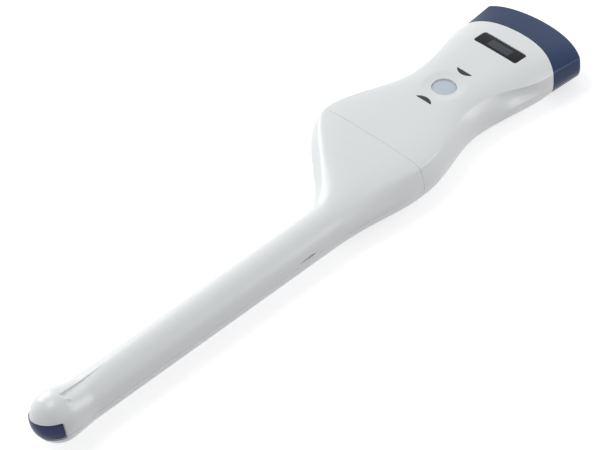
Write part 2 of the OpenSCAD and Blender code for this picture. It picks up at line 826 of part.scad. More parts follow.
module shield(s, l, w, z, t) {
    color("silver") at(s + l / 2, 0, z) {
        plate(l, w, t, shield_r);
        plate(l + 2 * shield_step, w + 2 * shield_step, shield_step, shield_r);
    }
}

module processor_shield() {
    s = button_s - guide_off - guide_l - guide_flange_w - processor_l;
    shield(s, processor_l, processor_w, part_h, processor_t);
}

module front_end_shield() {
    s = mid_post_s - stack_plug_l / 2 - 2 * shield_step - fit_gap - front_end_l;
    shield(s, front_end_l, front_end_w, front_board_h + seat_gap, front_end_t);
}

module radio_module() {
    s = main_board_s + main_board_l - post_d / 2 - antenna_l - radio_l - seat_gap - 2 * shield_step;
    translate([0, radio_y, 0]) shield(s, radio_l, radio_w, part_h, radio_t);
}

module antenna() {
    color("wheat") at(main_board_s + main_board_l - post_d / 2, antenna_y - antenna_w / 2, part_h)
        cube([antenna_l, antenna_w, antenna_t]);
}

module battery_pack() {
    color("steelblue") at(battery_s + battery_l / 2, 0, battery_h)
        plate(battery_l, battery_w, battery_t, battery_r);
}

module battery_pad() {
    low = battery_h + battery_t + seat_gap;
    color("dimgray") at(battery_s + battery_l / 2, 0, low)
        plate(battery_l - 2 * pad_in, pad_w, main_board_low - seat_gap - low, battery_r);
}

module charging_coil() {
    l = battery_l - 2 * ferrite_in - 2 * coil_in;
    r = l * coil_corner_share;
    band = l * coil_band_share;
    color("chocolate") at(battery_s + battery_l / 2, 0, coil_h) difference() {
        plate(l, coil_w, coil_t, r);
        translate([0, 0, -over]) plate(l - 2 * band, coil_w - 2 * band, coil_t + 2 * over, r - band);
    }
}

module coil_ferrite() {
    color("dimgray") at(battery_s + battery_l / 2, 0, ferrite_h)
        plate(battery_l - 2 * ferrite_in, battery_w, ferrite_t, battery_r);
}

// A closed collar between two insets, over a stretch of stations
module collar(a, b, inset, t) {
    difference() {
        loft([for (s = stations(a, b, 2)) placed(s, full_ring(s, inset))], false);
        loft([for (s = stations(a - over, b + over, 2)) placed(s, full_ring(s, inset + t))], false);
    }
}

module joint_sleeve() {
    color("gainsboro")
        collar(seam_s - sleeve_l / 2, seam_s + sleeve_l / 2, wall_t + fit_gap, sleeve_t);
}

module joint_seal() {
    g = (seam_gap - parting_gap) / 2;
    color("gray") collar(seam_s - g, seam_s + g, seal_ring_in, seal_ring_t);
}

module shaft_bar(a, b, r) {
    at(b, -shaft_off, axis_h) rotate([0, 90, 0]) cylinder(r = r, h = b - a, $fn = 120);
}

// Station, centre height and radius of the rings of the flare, the ball and the bore's dome
function flare_place(i) = let (u = ease(i / flare_n))
    [mix(flare_s, tip_c, i / flare_n), axis_h + tip_rise * u, mix(shaft_r, tip_r, u)];
function ball_place(i) = let (a = last_ball_angle * i / ball_n)
    [tip_c + tip_r * sin(a), axis_h + tip_rise, tip_r * cos(a)];
function dome_place(i) = let (a = last_ball_angle * i / ball_n, r = shaft_r - shaft_wall_t)
    [tip_c + r * sin(a), axis_h, r * cos(a)];
function bore_place(s) = [s, axis_h, shaft_r - shaft_wall_t];
function tip_ring(p, q, upper) =
    with_inner(ball_ring(p[0], p[1], p[2], upper), ball_ring(q[0], q[1], q[2], upper));

module shaft_half(upper) {
    t = shaft_wall_t;
    z = axis_h + (upper ? parting_gap / 2 : -parting_gap / 2);
    difference() {
        union() {
            loft(concat(
                [for (s = stations(seam_s + seam_gap / 2, mix(seam_s, neck_s, 1 - 1 / neck_n), neck_n - 1))
                    placed(s, upper
                        ? with_inner(neck_over(s, 0), neck_over(s, neck_wall(s)))
                        : with_inner(neck_under(s, 0), neck_under(s, neck_wall(s))))],
                [for (s = [neck_s, neck_s + weld_l])
                    placed(s, upper
                        ? with_inner(neck_over(s, weld_in), neck_over(s, t - weld_in))
                        : with_inner(neck_under(s, weld_in), neck_under(s, t - weld_in)))]), true);
            difference() {
                shaft_bar(neck_s, flare_s, shaft_r);
                shaft_bar(neck_s - over, flare_s + over, shaft_r - t);
                at(flare_s + over, -shaft_off - shaft_d, upper ? z - shaft_d : z)
                    cube([flare_s - neck_s + 2 * over, 2 * shaft_d, shaft_d]);
            }
            loft(concat(
                [for (s = [flare_s - weld_l, flare_s])
                    tip_ring([s, axis_h, shaft_r - weld_in], [s, axis_h, shaft_r - t + weld_in], upper)],
                [for (i = [1:flare_n]) tip_ring(flare_place(i), bore_place(flare_place(i)[0]), upper)],
                [for (i = [1:ball_n]) tip_ring(ball_place(i), dome_place(i), upper)]), true);
        }
        at(overall_l + over, -shaft_off - cavity_lens_w / 2 - seat_gap,
                axis_h - cavity_lens_h / 2 - seat_gap)
            cube([tip_r - cavity_seat_l + over, cavity_lens_w + 2 * seat_gap, cavity_lens_h + 2 * seat_gap]);
        if (upper) {
            latch_notch();
            guide_recess();
        }
    }
}

// Tapered recess in front of the ball's crest, with a locating dimple, for a needle guide
module guide_recess() {
    floor_z = axis_h + shaft_r - recess_t;
    slope_angle = atan(recess_t / recess_l);
    at(recess_end_s, -shaft_off + recess_wall_off - shaft_d, floor_z) rotate([0, -slope_angle, 0])
        cube([recess_l + over, shaft_d, shaft_d]);
    at(recess_end_s - dimple_d, -shaft_off + recess_wall_off - dimple_off, floor_z - dimple_t)
        cylinder(d = dimple_d, h = shaft_d, $fn = 32);
}

// Notch on the near flank that opens at the parting line
module latch_notch() {
    at(notch_s + notch_l / 2, -shaft_off - shaft_d, 0) cube([notch_l, shaft_d - shaft_r + notch_t, axis_h + notch_h]);
}

module shaft_upper_shell() {
    color("whitesmoke") shaft_half(true);
}

module shaft_lower_shell() {
    color("whitesmoke") shaft_half(false);
}

// The coaxial bundle, from the board's plug into the shaft and on to the tip
cable_start_s = main_board_s + main_board_l - cable_plug_l / 10;
function cable_y(s) = -mix(cable_side, shaft_off, span(s, cable_start_s, seam_s + cable_bend_l));
function cable_z(s) = mix(part_h + cable_plug_t / 2 + fit_gap, axis_h,
    span(s, cable_start_s, seam_s + cable_bend_l));

module shaft_cable() {
    run = concat(
        stations(cable_start_s + seat_gap, seam_s + cable_bend_l, cable_n),
        [tip_c + sqrt(pow(cavity_backing_in_r, 2) - pow(cable_d / 2, 2)) - seat_gap]);
    color("dimgray") loft([for (s = run) [for (i = [0:cable_sides - 1]) let (a = 180 - 360 * i / cable_sides)
        [x_at(s), cable_y(s) + cable_d / 2 * cos(a), cable_z(s) + cable_d / 2 * sin(a)]]], false);
}

module cable_spacers() {
    for (i = [1:spacer_n])
        at(mix(neck_s, flare_s, i / (spacer_n + 1)), -shaft_off, axis_h) rotate([0, 90, 0])
            difference() {
                cylinder(r = shaft_r - shaft_wall_t - fit_gap, h = spacer_l, $fn = 72);
                translate([0, 0, -over])
                    cylinder(d = cable_d + 2 * fit_gap, h = spacer_l + 2 * over, $fn = 48);
            }
}

module cable_connector() {
    color("ivory") at(cable_start_s, -cable_side - cable_plug_w / 2, part_h)
        cube([cable_plug_l, cable_plug_w, cable_plug_t]);
}

module cavity_sector(r1, r2, h, half_angle) {
    at(tip_c, -shaft_off, axis_h - h / 2) rotate([0, 0, 180 - half_angle])
        rotate_extrude(angle = 2 * half_angle, $fn = 120) translate([r1, 0]) square([r2 - r1, h]);
}

module cavity_lens() {
    color("navy") difference() {
        intersection() {
            at(tip_c, -shaft_off, axis_h + tip_rise) sphere(r = tip_r, $fn = 160);
            at(overall_l + over, -shaft_off - cavity_lens_w / 2, axis_h - cavity_lens_h / 2)
                cube([tip_r - cavity_seat_l - seat_gap + over, cavity_lens_w, cavity_lens_h]);
        }
        at(tip_c, -shaft_off, 0) cylinder(r = tip_r - cavity_lens_t, h = handle_h, $fn = 120);
    }
}

module cavity_array() {
    color("goldenrod")
        cavity_sector(cavity_out_r - cavity_array_t, cavity_out_r, cavity_array_h, cavity_half_angle);
}

module cavity_backing() {
    color("darkslategray")
        cavity_sector(cavity_backing_in_r, cavity_backing_out_r, cavity_array_h, cavity_half_angle);
}

top_shell();
bottom_shell();
shell_gasket();
convex_nose();
convex_lens();
convex_array();
convex_backing();
convex_flex();
display_window();
display_gasket();
display_module();
power_button();
button_seal();
button_switch();
convex_light_guide();
cavity_light_guide();
indicator_leds();
main_board();
front_board();
board_connector();
board_standoffs();
board_screws();
processor_shield();
front_end_shield();
radio_module();
antenna();
battery_pack();
battery_pad();
charging_coil();
coil_ferrite();
joint_sleeve();
joint_seal();
shaft_upper_shell();
shaft_lower_shell();
shaft_cable();
cable_spacers();
cable_connector();
cavity_lens();
cavity_array();
cavity_backing();
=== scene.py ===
import json
import math

import bmesh
import bpy
import numpy as np
from mathutils import Matrix, Vector

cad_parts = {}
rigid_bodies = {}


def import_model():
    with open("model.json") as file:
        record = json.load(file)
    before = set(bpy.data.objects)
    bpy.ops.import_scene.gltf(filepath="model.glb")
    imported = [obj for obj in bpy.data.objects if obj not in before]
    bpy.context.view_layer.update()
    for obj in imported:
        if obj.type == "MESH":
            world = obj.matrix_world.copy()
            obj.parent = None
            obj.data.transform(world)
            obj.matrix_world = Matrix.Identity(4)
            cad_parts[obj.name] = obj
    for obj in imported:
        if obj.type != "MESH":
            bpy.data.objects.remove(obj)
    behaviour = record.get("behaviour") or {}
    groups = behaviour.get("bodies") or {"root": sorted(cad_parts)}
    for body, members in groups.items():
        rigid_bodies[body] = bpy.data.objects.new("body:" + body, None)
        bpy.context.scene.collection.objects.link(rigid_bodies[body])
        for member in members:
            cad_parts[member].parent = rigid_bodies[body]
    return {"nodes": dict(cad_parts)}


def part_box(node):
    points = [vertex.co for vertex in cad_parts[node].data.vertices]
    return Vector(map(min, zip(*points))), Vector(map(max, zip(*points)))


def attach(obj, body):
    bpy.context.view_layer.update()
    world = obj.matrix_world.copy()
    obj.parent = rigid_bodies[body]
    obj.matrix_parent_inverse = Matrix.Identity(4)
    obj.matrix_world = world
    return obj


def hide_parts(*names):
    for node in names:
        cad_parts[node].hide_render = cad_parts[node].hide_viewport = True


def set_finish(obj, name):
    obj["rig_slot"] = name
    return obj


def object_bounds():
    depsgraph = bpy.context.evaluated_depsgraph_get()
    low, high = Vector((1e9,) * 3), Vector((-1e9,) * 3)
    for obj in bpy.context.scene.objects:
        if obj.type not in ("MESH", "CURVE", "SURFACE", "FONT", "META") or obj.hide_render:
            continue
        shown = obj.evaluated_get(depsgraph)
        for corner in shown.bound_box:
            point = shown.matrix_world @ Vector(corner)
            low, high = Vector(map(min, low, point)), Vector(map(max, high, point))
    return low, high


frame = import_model()
cadBox = [list(corner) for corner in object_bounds()]
mm = 0.001
print("frame loaded:", len(frame["nodes"]), "nodes")

# Sizes are in millimetres and angles in degrees, but an edgeTurn or a hubTurn is in radians.
# A station is a distance behind the convex face, on the way to the tip. The three ridge roundings
# are each given as passes and reach, the reach in turns.
probe = {
    "frontX": cadBox[1][0] / mm, "length": (cadBox[1][0] - cadBox[0][0]) / mm, "seamStation": 141,
    "topHeight": 26.6, "shoulderRise": 0.9, "headWidth": 64.6, "waistWidth": 54, "shoulderWidth": 76,
    "waistStation": 83, "shoulderStation": 138, "axisHeight": 14, "lowCorner": 14, "wall": 2.2,
    "splitHeight": 8, "ridgeHeight": 24, "headRidgeHeight": 20.6, "ridgeInset": 6,
    "headRidgeInset": 1.6, "shoulderRidgeInset": -2, "shoulderRidgeRise": 1.4, "ridgeStart": 38,
    "ridgeEnd": 74, "crispRidge": (5, 0.05), "softRidge": (30, 0.1), "neckRidge": (160, 0.3),
    "crownPower": 4, "sidePower": 1.5, "coveDepth": 2.5, "coveFadeShare": 0.5, "riseShare": 0.7,
    "slopeLength": 40, "slopePower": 1.3, "noseDrop": 5.6, "noseLift": 3.2, "acrossLimit": 40,
    "shaftRadius": 11.2, "shaftOffset": 22, "neckLength": 62, "nearDelay": 7, "shaftWall": 2,
    "tipRadius": 13.2, "tipRise": 1.8, "flareLength": 18,
}
nose = {"radius": 60, "length": 20, "jointRadius": 52, "flare": 1.8, "jointGap": 0.06}
jointCentre = nose["length"] + nose["jointRadius"]
jointStation = jointCentre - math.sqrt(nose["jointRadius"] ** 2 - (probe["headWidth"] / 2) ** 2)
cornerStation = nose["radius"] - math.sqrt(
    nose["radius"] ** 2 - (probe["headWidth"] / 2 + nose["flare"]) ** 2)
neckEnd = probe["seamStation"] + probe["neckLength"]
tipStation = probe["length"] - probe["tipRadius"]
flareStation = tipStation - probe["flareLength"]
shaftY = -probe["shaftOffset"]

# A turn is a place round a section: 0 is the crest, ridgeTurn the ridge, 1 the widest line,
# 2 the edge of the flat underside and 3 its middle. The near side's turns are negative.
# The columns of a section bunch together towards the ridge.
ridgeTurn = 0.6
columns = {"crown": 60, "side": 26, "crownBunch": 1.5, "sideBunch": 1.4}


def mix(a, b, t):
    return a + (b - a) * t


def ease(t):
    t = np.clip(t, 0, 1)
    return t * t * (3 - 2 * t)


def span(s, a, b):
    return ease((s - a) / (b - a))


def halfWidth(s):
    half, waist, shoulder = (probe[key] / 2 for key in ("headWidth", "waistWidth", "shoulderWidth"))
    front = half + nose["flare"] * (jointStation - s) / (jointStation - cornerStation)
    toWaist = mix(half, waist, span(s, jointStation, probe["waistStation"]))
    toShoulder = mix(waist, shoulder, span(s, probe["waistStation"], probe["shoulderStation"]))
    return np.where(s < jointStation, front, np.where(s < probe["waistStation"], toWaist, toShoulder))


def sideLines(s):
    # far and near outline of the handle and the neck
    shoulder, nearStart = probe["shoulderWidth"] / 2, probe["seamStation"] + probe["nearDelay"]
    far = mix(shoulder, probe["shaftRadius"] - probe["shaftOffset"],
              span(s, probe["shoulderStation"], neckEnd))
    near = mix(shoulder, probe["shaftRadius"] + probe["shaftOffset"], span(s, nearStart, neckEnd))
    return (np.where(s < probe["shoulderStation"], halfWidth(s), far),
            np.where(s < nearStart, halfWidth(s), near))


def neckShare(s):
    return span(s, probe["seamStation"], neckEnd)


def flareShare(s):
    return ease((s - flareStation) / probe["flareLength"])


def slope(s):
    return np.maximum(1 - s / probe["slopeLength"], 0) ** probe["slopePower"]


def crestHeight(s):
    shoulder = probe["topHeight"] + probe["shoulderRise"]
    riseFrom = mix(probe["waistStation"], probe["shoulderStation"], 1 - probe["riseShare"])
    return (mix(probe["topHeight"], shoulder, span(s, riseFrom, probe["shoulderStation"]))
            - probe["noseDrop"] * slope(s)
            + (probe["axisHeight"] + probe["shaftRadius"] - shoulder) * neckShare(s))


def baseHeight(s):
    return probe["noseLift"] * slope(s) + (probe["axisHeight"] - probe["shaftRadius"]) * neckShare(s)


def coveAt(s):
    start, end, fade = jointStation, probe["ridgeEnd"], probe["coveFadeShare"]
    return probe["coveDepth"] * (
        span(s, start, mix(start, end, 1 - fade)) - span(s, mix(start, end, fade), end))


def ridgeAt(s):
    # height of the ridge, and how far it lies inside the widest line
    toRidge = span(s, probe["ridgeStart"], probe["ridgeEnd"])
    toShoulder = span(s, probe["waistStation"], probe["shoulderStation"])
    height = mix(probe["headRidgeHeight"], probe["ridgeHeight"], toRidge)
    inset = mix(probe["headRidgeInset"], probe["ridgeInset"], toRidge)
    return (np.minimum(height + probe["shoulderRidgeRise"] * toShoulder, crestHeight(s)),
            inset + probe["shoulderRidgeInset"] * toShoulder)


def sectionPoint(s, turn, inset):
    # across and up, for a station and a turn, drawn in by the inset
    far, near = sideLines(s)
    half = (far + near) / 2 - inset
    top, base, axis = crestHeight(s) - inset, baseHeight(s) + inset, probe["axisHeight"]
    ridge, ridgeIn = ridgeAt(s)
    ridge = ridge - inset
    share = neckShare(s)
    side, size = np.sign(turn), np.abs(turn)

    # from the crest to the ridge
    u = np.clip(size / ridgeTurn, 0, 1)
    angle = np.radians(90 - 45 * u)
    y = mix((half - ridgeIn) * u, half * np.cos(angle), share)
    z = mix(top - (top - ridge) * u ** probe["crownPower"], axis + (top - axis) * np.sin(angle), share)

    # from the ridge to the widest line
    u = np.clip((size - ridgeTurn) / (1 - ridgeTurn), 0, 1)
    angle = np.radians(45 * (1 - u))
    sideY = mix(half - ridgeIn * (1 - u) ** probe["sidePower"] - coveAt(s) * np.sin(np.pi * u),
                half * np.cos(angle), share)
    sideZ = mix(mix(ridge, axis, u), axis + (top - axis) * np.sin(angle), share)
    y, z = np.where(size > ridgeTurn, sideY, y), np.where(size > ridgeTurn, sideZ, z)

    # round the low corner and across the flat underside
    corner = mix(probe["lowCorner"] - inset, half, share)
    angle = np.radians(90 * np.clip(size - 1, 0, 1))
    y = np.where(size > 1, half - corner * (1 - np.cos(angle)), y)
    z = np.where(size > 1, axis - (axis - base) * np.sin(angle), z)
    y = np.where(size > 2, (half - corner) * (3 - size), y)
    return (far - near) / 2 + side * y, z


def splitTurn(s, inset, height):
    # the turn past 1 at which a handle section comes down to a height
    depth = (probe["axisHeight"] - height) / (probe["axisHeight"] - baseHeight(s) - inset)
    return np.degrees(np.arcsin(np.clip(depth, -1, 1))) / 90


def withinReach(y):
    # keeps a trial point within the joint's arc
    return np.clip(y, -probe["acrossLimit"], probe["acrossLimit"])


def jointLine(y, forward=0.0):
    return jointCentre - np.sqrt((nose["jointRadius"] + forward) ** 2 - y ** 2)


def faceLine(y, back=0.0):
    return nose["radius"] - np.sqrt((nose["radius"] - back) ** 2 - y ** 2)


def atStation(s):
    return probe["frontX"] - s


def placed(s, y, z):
    s, y, z = np.broadcast_arrays(s, y, z)
    return np.stack([atStation(s), y, z], axis=-1)


def topTurns(crown=columns["crown"], side=columns["side"]):
    # turns from the crest to the widest line, close together at the ridge
    over = ridgeTurn * (1 - (1 - np.linspace(0, 1, crown)) ** columns["crownBunch"])
    under = ridgeTurn + (1 - ridgeTurn) * np.linspace(0, 1, side)[1:] ** columns["sideBunch"]
    return np.concatenate([over, under])


def bothSides(half):
    return np.concatenate([-half[:0:-1], half])


def softenRidge(grid, turns, passes, reach):
    # rounds the crease of the ridge by averaging the columns within reach of it
    soft = grid.copy()
    index = [j for j in range(1, len(turns) - 1) if abs(abs(turns[j]) - ridgeTurn) < reach]
    for _ in range(passes):
        old = soft.copy()
        for j in index:
            soft[:, j] = (old[:, j - 1] + 2 * old[:, j] + old[:, j + 1]) / 4
    return soft


def softenTowards(grid, turns, share, less, more):
    # a ridge whose rounding grows from row to row, each given as passes and reach
    share = np.reshape(share, (-1, 1, 1))
    return mix(softenRidge(grid, turns, *less), softenRidge(grid, turns, *more), share)


def quarterTurn(count):
    return np.linspace(0, np.pi / 2, count)


def roundedEdge(radius, angle):
    # for a place round an edge: how far it has drawn in, and how far it falls short of the edge's top
    return radius * (1 - np.cos(angle)), radius * (1 - np.sin(angle))


def roundedRun(count, radius, steps=4):
    # a run from share 0 to 1 with a rounded edge at each end: share, inset and shift along the run
    share = np.concatenate([np.zeros(steps), np.linspace(0, 1, count), np.ones(steps)])
    rise, inward = roundedEdge(radius, quarterTurn(steps + 1)[1:])
    inset = np.concatenate([rise[::-1], np.zeros(count), rise])
    shift = np.concatenate([inward[::-1], np.linspace(radius, -radius, count), -inward])
    return share[:, None], inset[:, None], shift[:, None]


def meshPiece(name, points, faces, body="housing", slot=None, stands=(), sharpAngle=38):
    # a piece without a slot is a cutter and rides on no body
    mesh = bpy.data.meshes.new(name)
    mesh.from_pydata([tuple(p * mm) for p in points], [], faces)
    work = bmesh.new()
    work.from_mesh(mesh)
    bmesh.ops.recalc_face_normals(work, faces=work.faces)
    work.to_mesh(mesh)
    work.free()
    piece = bpy.data.objects.new(name, mesh)
    bpy.context.scene.collection.objects.link(piece)
    mesh.shade_smooth()
    mesh.set_sharp_from_angle(angle=math.radians(sharpAngle))
    if slot:
        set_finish(piece, slot)
        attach(piece, body)
        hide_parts(*stands)
    return piece


def gridFaces(rows, cols, wrapRows=False, wrapCols=False):
    faces = []
    for i in range(rows if wrapRows else rows - 1):
        for j in range(cols if wrapCols else cols - 1):
            a, b, k = i * cols, (i + 1) % rows * cols, (j + 1) % cols
            faces.append((a + j, a + k, b + k, b + j))
    return faces


def wallPiece(name, outer, inner, **options):
    # a shell between two grids of the same counts, closed round its rim
    rows, cols = outer.shape[:2]
    ring = np.concatenate([outer, inner[:, ::-1]], axis=1)
    faces = gridFaces(rows, 2 * cols, wrapCols=True)
    for first in (0, (rows - 1) * 2 * cols):
        last = first + 2 * cols - 1
        faces += [(first + j, first + j + 1, last - 1 - j, last - j) for j in range(cols - 1)]
    return meshPiece(name, ring.reshape(-1, 3), faces, **options)


def cappedPiece(name, rings, **options):
    # closed rings one after another, with a face over the first and the last
    rings = np.array(rings)
    rows, cols = rings.shape[:2]
    faces = gridFaces(rows, cols, wrapCols=True)
    faces += [tuple(range(cols)), tuple(range((rows - 1) * cols, rows * cols))]
    return meshPiece(name, rings.reshape(-1, 3), faces, **options)


def tubePiece(name, rings, **options):
    # closed rings whose last one meets the first
    rows, cols = rings.shape[:2]
    return meshPiece(name, rings.reshape(-1, 3), gridFaces(rows, cols, True, True), **options)


def padRings(outline, low, high, edge, steps=4):
    # rings of a flat pad with rounded edges over a convex outline
    outline = np.array(outline, float)
    way = np.roll(outline, -1, axis=0) - np.roll(outline, 1, axis=0)
    out = np.stack([way[:, 1], -way[:, 0]], axis=1)
    out /= np.linalg.norm(out, axis=1)[:, None]
    if np.sum(out * (outline - outline.mean(axis=0))) < 0:
        out = -out
    drawnIn, short = roundedEdge(edge, quarterTurn(steps + 1))
    run = list(zip(drawnIn[::-1], low + short[::-1])) + list(zip(drawnIn, high - short))
    return [np.column_stack([outline - out * inset, np.full(len(outline), z)]) for inset, z in run]


def roundedOutline(length, width, radius, steps=8):
    points = []
    for k, (x, y) in enumerate([(1, 1), (-1, 1), (-1, -1), (1, -1)]):
        for a in np.radians(np.linspace(90 * k, 90 * k + 90, steps + 1)):
            points.append((x * (length / 2 - radius) + radius * math.cos(a),
                           y * (width / 2 - radius) + radius * math.sin(a)))
    return points


def keepSmooth(piece, sharpAngle=30, weight=60):
    piece.data.set_sharp_from_angle(angle=math.radians(sharpAngle))
    weights = piece.modifiers.new("weights", "WEIGHTED_NORMAL")
    weights.keep_sharp = True
    weights.weight = weight


def cutOut(piece, cutters):
    # takes the cutters out of a piece, then keeps its smooth faces smooth
    for cutter in cutters:
        modifier = piece.modifiers.new("cut", "BOOLEAN")
        modifier.operation = "DIFFERENCE"
        modifier.solver = "EXACT"
        modifier.object = cutter
    bpy.context.view_layer.update()
    shape = bpy.data.meshes.new_from_object(piece.evaluated_get(bpy.context.evaluated_depsgraph_get()))
    piece.modifiers.clear()
    piece.data = shape
    keepSmooth(piece)
    for cutter in cutters:
        bpy.data.objects.remove(cutter)


def moved(rings, x, y, z, tilt=0.0):
    # rings turned about the across axis, their front going down, and carried to a place
    turn = np.array(Matrix.Rotation(tilt, 3, "Y"))
    return [np.array(ring) @ turn.T + np.array([x, y, z]) for ring in rings]


# Handle

handle = {
    "rows": 170, "settleSteps": 8, "partingGap": 0.03, "seamGap": 0.07, "edge": 0.18,
    "softening": (60, 105), "topCornerColumns": 9, "cornerColumns": 26, "baseColumns": 16,
}
display = {
    "station": 38.8, "width": 29.8, "length": 10, "corner": 1.6, "glass": 0.92, "sink": 0.4,
    "gap": 0.15, "seatGap": 0.08, "ledge": 1.2, "edge": 0.22,
}
button = {
    "station": 84, "diameter": 13.5, "gap": 0.08, "dishDiameter": 25, "dishDepth": 1.2,
    "dishBlend": 0.12, "dishReachShare": 0.9, "sink": 0.15, "capHeight": 2.7, "crown": 0.25,
    "edge": 0.55, "edgeTurn": 1.54, "flange": 1.4, "flangeHeight": 0.9, "flangeEdge": 0.1,
    "stemDiameter": 3.6, "stemHeight": 2.07, "hub": 0.3, "edgeRows": 9, "crownRows": 12,
    "boreStep": 3, "ringStep": 3.75,
}
guide = {"off": 15, "width": 10.2, "bulge": 2.8, "gap": 0.15, "edge": 0.18}
cutting = {"edge": 0.01, "overTop": 3, "overGlass": 5, "underGlass": 8, "overLedge": 0.5}


def displayPlace():
    # where the window's middle lies, and how far it tilts with the crest
    low = crestHeight(display["station"] - display["length"] / 2)
    high = crestHeight(display["station"] + display["length"] / 2)
    tilt = math.atan((high - low) / display["length"])
    return atStation(display["station"]), 0, (low + high) / 2 - display["sink"], tilt


def guidePlace(side):
    return atStation(button["station"] - side * guide["off"]), 0, 0


def capRadius(width, rise):
    # radius of the circle, or ball, whose cap is this wide and rises this much
    return ((width / 2) ** 2 + rise ** 2) / (2 * rise)


def dishHeight(x, y):
    # height of the dish's ball, held level where the ball's edge is near
    radius = capRadius(button["dishDiameter"], button["dishDepth"])
    away = (x - atStation(button["station"])) ** 2 + y ** 2
    away = np.minimum(away, radius ** 2 * button["dishReachShare"])
    return probe["topHeight"] - button["dishDepth"] + radius - np.sqrt(radius ** 2 - away)


def sunkByDish(outer):
    # lowers a grid to the button's dish, with a soft rim
    blend, dish = button["dishBlend"], dishHeight(outer[..., 0], outer[..., 1])
    near = np.clip(1 - np.abs(outer[..., 2] - dish) / blend, 0, 1)
    outer[..., 2] = np.minimum(outer[..., 2], dish) - near ** 2 * blend / 4
    return outer


def circle(radius, step):
    return [(radius * math.cos(a), radius * math.sin(a)) for a in np.radians(np.arange(0, 360, step))]


def crescent(side, grow, steps=20):
    # a light guide's outline round its own middle, its bulge towards the button
    radius = capRadius(guide["width"], guide["bulge"])
    reach = math.acos((radius - guide["bulge"] - grow) / (radius + grow))
    middle = guide["bulge"] / 2 - radius
    return [(-side * (middle + (radius + grow) * math.cos(a)), (radius + grow) * math.sin(a))
            for a in np.linspace(-reach, reach, steps)]


def handleGrid(turns, inset, height, past):
    # past gives the turn beyond the widest line, for a column and the turn of the parting line.
    # The stations settle in steps, because a row's width depends on its place along the joint.
    share, edgeInset, shift = roundedRun(handle["rows"], handle["edge"])
    total = inset if inset else edgeInset
    end = probe["seamStation"] - handle["seamGap"]
    s = mix(nose["length"], end, share) + 0 * turns
    for _ in range(handle["settleSteps"]):
        down = splitTurn(s, total, height)
        turn = np.where(np.abs(turns) >= 1, np.sign(turns) * past(np.abs(turns), down), turns)
        y, z = sectionPoint(s, turn, total)
        s = mix(jointLine(withinReach(y), -nose["jointGap"]), end, share) + shift
    return placed(s, y, z)


def handleCutters():
    # the display's seat with its opening, the button's bore and the light guides' openings
    gap, ledge, glass = display["gap"], 2 * display["ledge"], display["glass"]
    seat = roundedOutline(display["length"] + 2 * gap, display["width"] + 2 * gap,
                          display["corner"] + gap)
    through = roundedOutline(display["length"] - ledge, display["width"] - ledge, display["corner"])
    seatRings = padRings(seat, -glass - display["seatGap"], cutting["overGlass"], cutting["edge"])
    throughRings = padRings(through, -cutting["underGlass"], cutting["overLedge"], cutting["edge"])
    cutters = [cappedPiece("cutWindow", moved(seatRings, *displayPlace())),
               cappedPiece("cutThrough", moved(throughRings, *displayPlace()))]

    low, high = probe["axisHeight"], probe["topHeight"] + cutting["overTop"]
    bore = padRings(circle(button["diameter"] / 2 + button["gap"], button["boreStep"]),
                    low, high, cutting["edge"])
    cutters.append(cappedPiece("cutBore", moved(bore, atStation(button["station"]), 0, 0)))
    for side in (-1, 1):
        opening = padRings(crescent(side, guide["gap"]), low, high, cutting["edge"])
        cutters.append(cappedPiece("cutGuide", moved(opening, *guidePlace(side))))
    return cutters


def topHandle():
    turns = bothSides(np.concatenate([topTurns(), np.linspace(1, 2, handle["topCornerColumns"])[1:]]))
    grids = [handleGrid(
        turns, inset, probe["splitHeight"] + handle["partingGap"],
        lambda size, down: 1 + (size - 1) * down
    ) for inset in (0, probe["wall"])]
    share = span(probe["frontX"] - grids[0][:, len(turns) // 2, 0], *handle["softening"])
    outer, inner = [softenTowards(grid, turns, share, probe["crispRidge"], probe["softRidge"])
                    for grid in grids]
    piece = wallPiece("handleTop", sunkByDish(outer), inner, slot="shell_white", stands=["top_shell"])
    cutOut(piece, handleCutters())


def bottomHandle():
    # from the near parting edge down the corner, across the flat underside and up to the far one
    half = np.concatenate([np.linspace(1, 2, handle["cornerColumns"]),
                           np.linspace(2, 3, handle["baseColumns"])[1:]])
    turns = np.concatenate([-half, half[::-1][1:]])
    grids = [handleGrid(
        turns, inset, probe["splitHeight"] - handle["partingGap"],
        lambda size, down: np.where(size < 2, mix(1 + down, 2, size - 1), size)
    ) for inset in (0, probe["wall"])]
    wallPiece("handleBottom", *grids, slot="shell_white", stands=["bottom_shell"])


topHandle()
bottomHandle()
print("handle halves made")


# Convex nose and its lens

noseCap = {
    "edge": 1.1, "edgeRows": 8, "bodyRows": 30, "settleSteps": 12, "startStation": 10,
    "crownColumns": 36, "sideColumns": 16, "cornerColumns": 22, "baseColumns": 10,
    "ridge": (10, 0.05), "faceShares": (0.3, 0.65, 0.92), "openingDepths": (2, 8, 20, 40),
    "spigot": 4, "spigotGap": 0.2, "spigotWall": 1.6, "spigotEdge": 0.3,
}
convexLens = {
    "halfAngle": 29.5, "height": 13.2, "square": 40, "lip": 0.3, "thickness": 1.8, "gap": 0.15,
    "edge": 0.3, "edgeRows": 5, "crown": 0.5, "sink": 0.02, "rows": 16, "rimShare": 0.94,
    "hubShare": 0.02, "sharpAngle": 60,
}


def noseTurns():
    low = np.concatenate([np.linspace(1, 2, noseCap["cornerColumns"])[1:],
                          np.linspace(2, 3, noseCap["baseColumns"])[1:]])
    half = np.concatenate([topTurns(noseCap["crownColumns"], noseCap["sideColumns"]), low])
    return np.concatenate([-half[1:-1][::-1], half])


def noseRing(turns, share, inset, back=0.0, forward=0.0):
    # a ring between the joint line at share 0 and the convex face at share 1, settled in steps
    s = np.full_like(turns, noseCap["startStation"])
    for _ in range(noseCap["settleSteps"]):
        y, z = sectionPoint(s, turns, inset)
        y = withinReach(y)
        s = mix(jointLine(y, forward), faceLine(y, back), share)
    return placed(s, y, z)


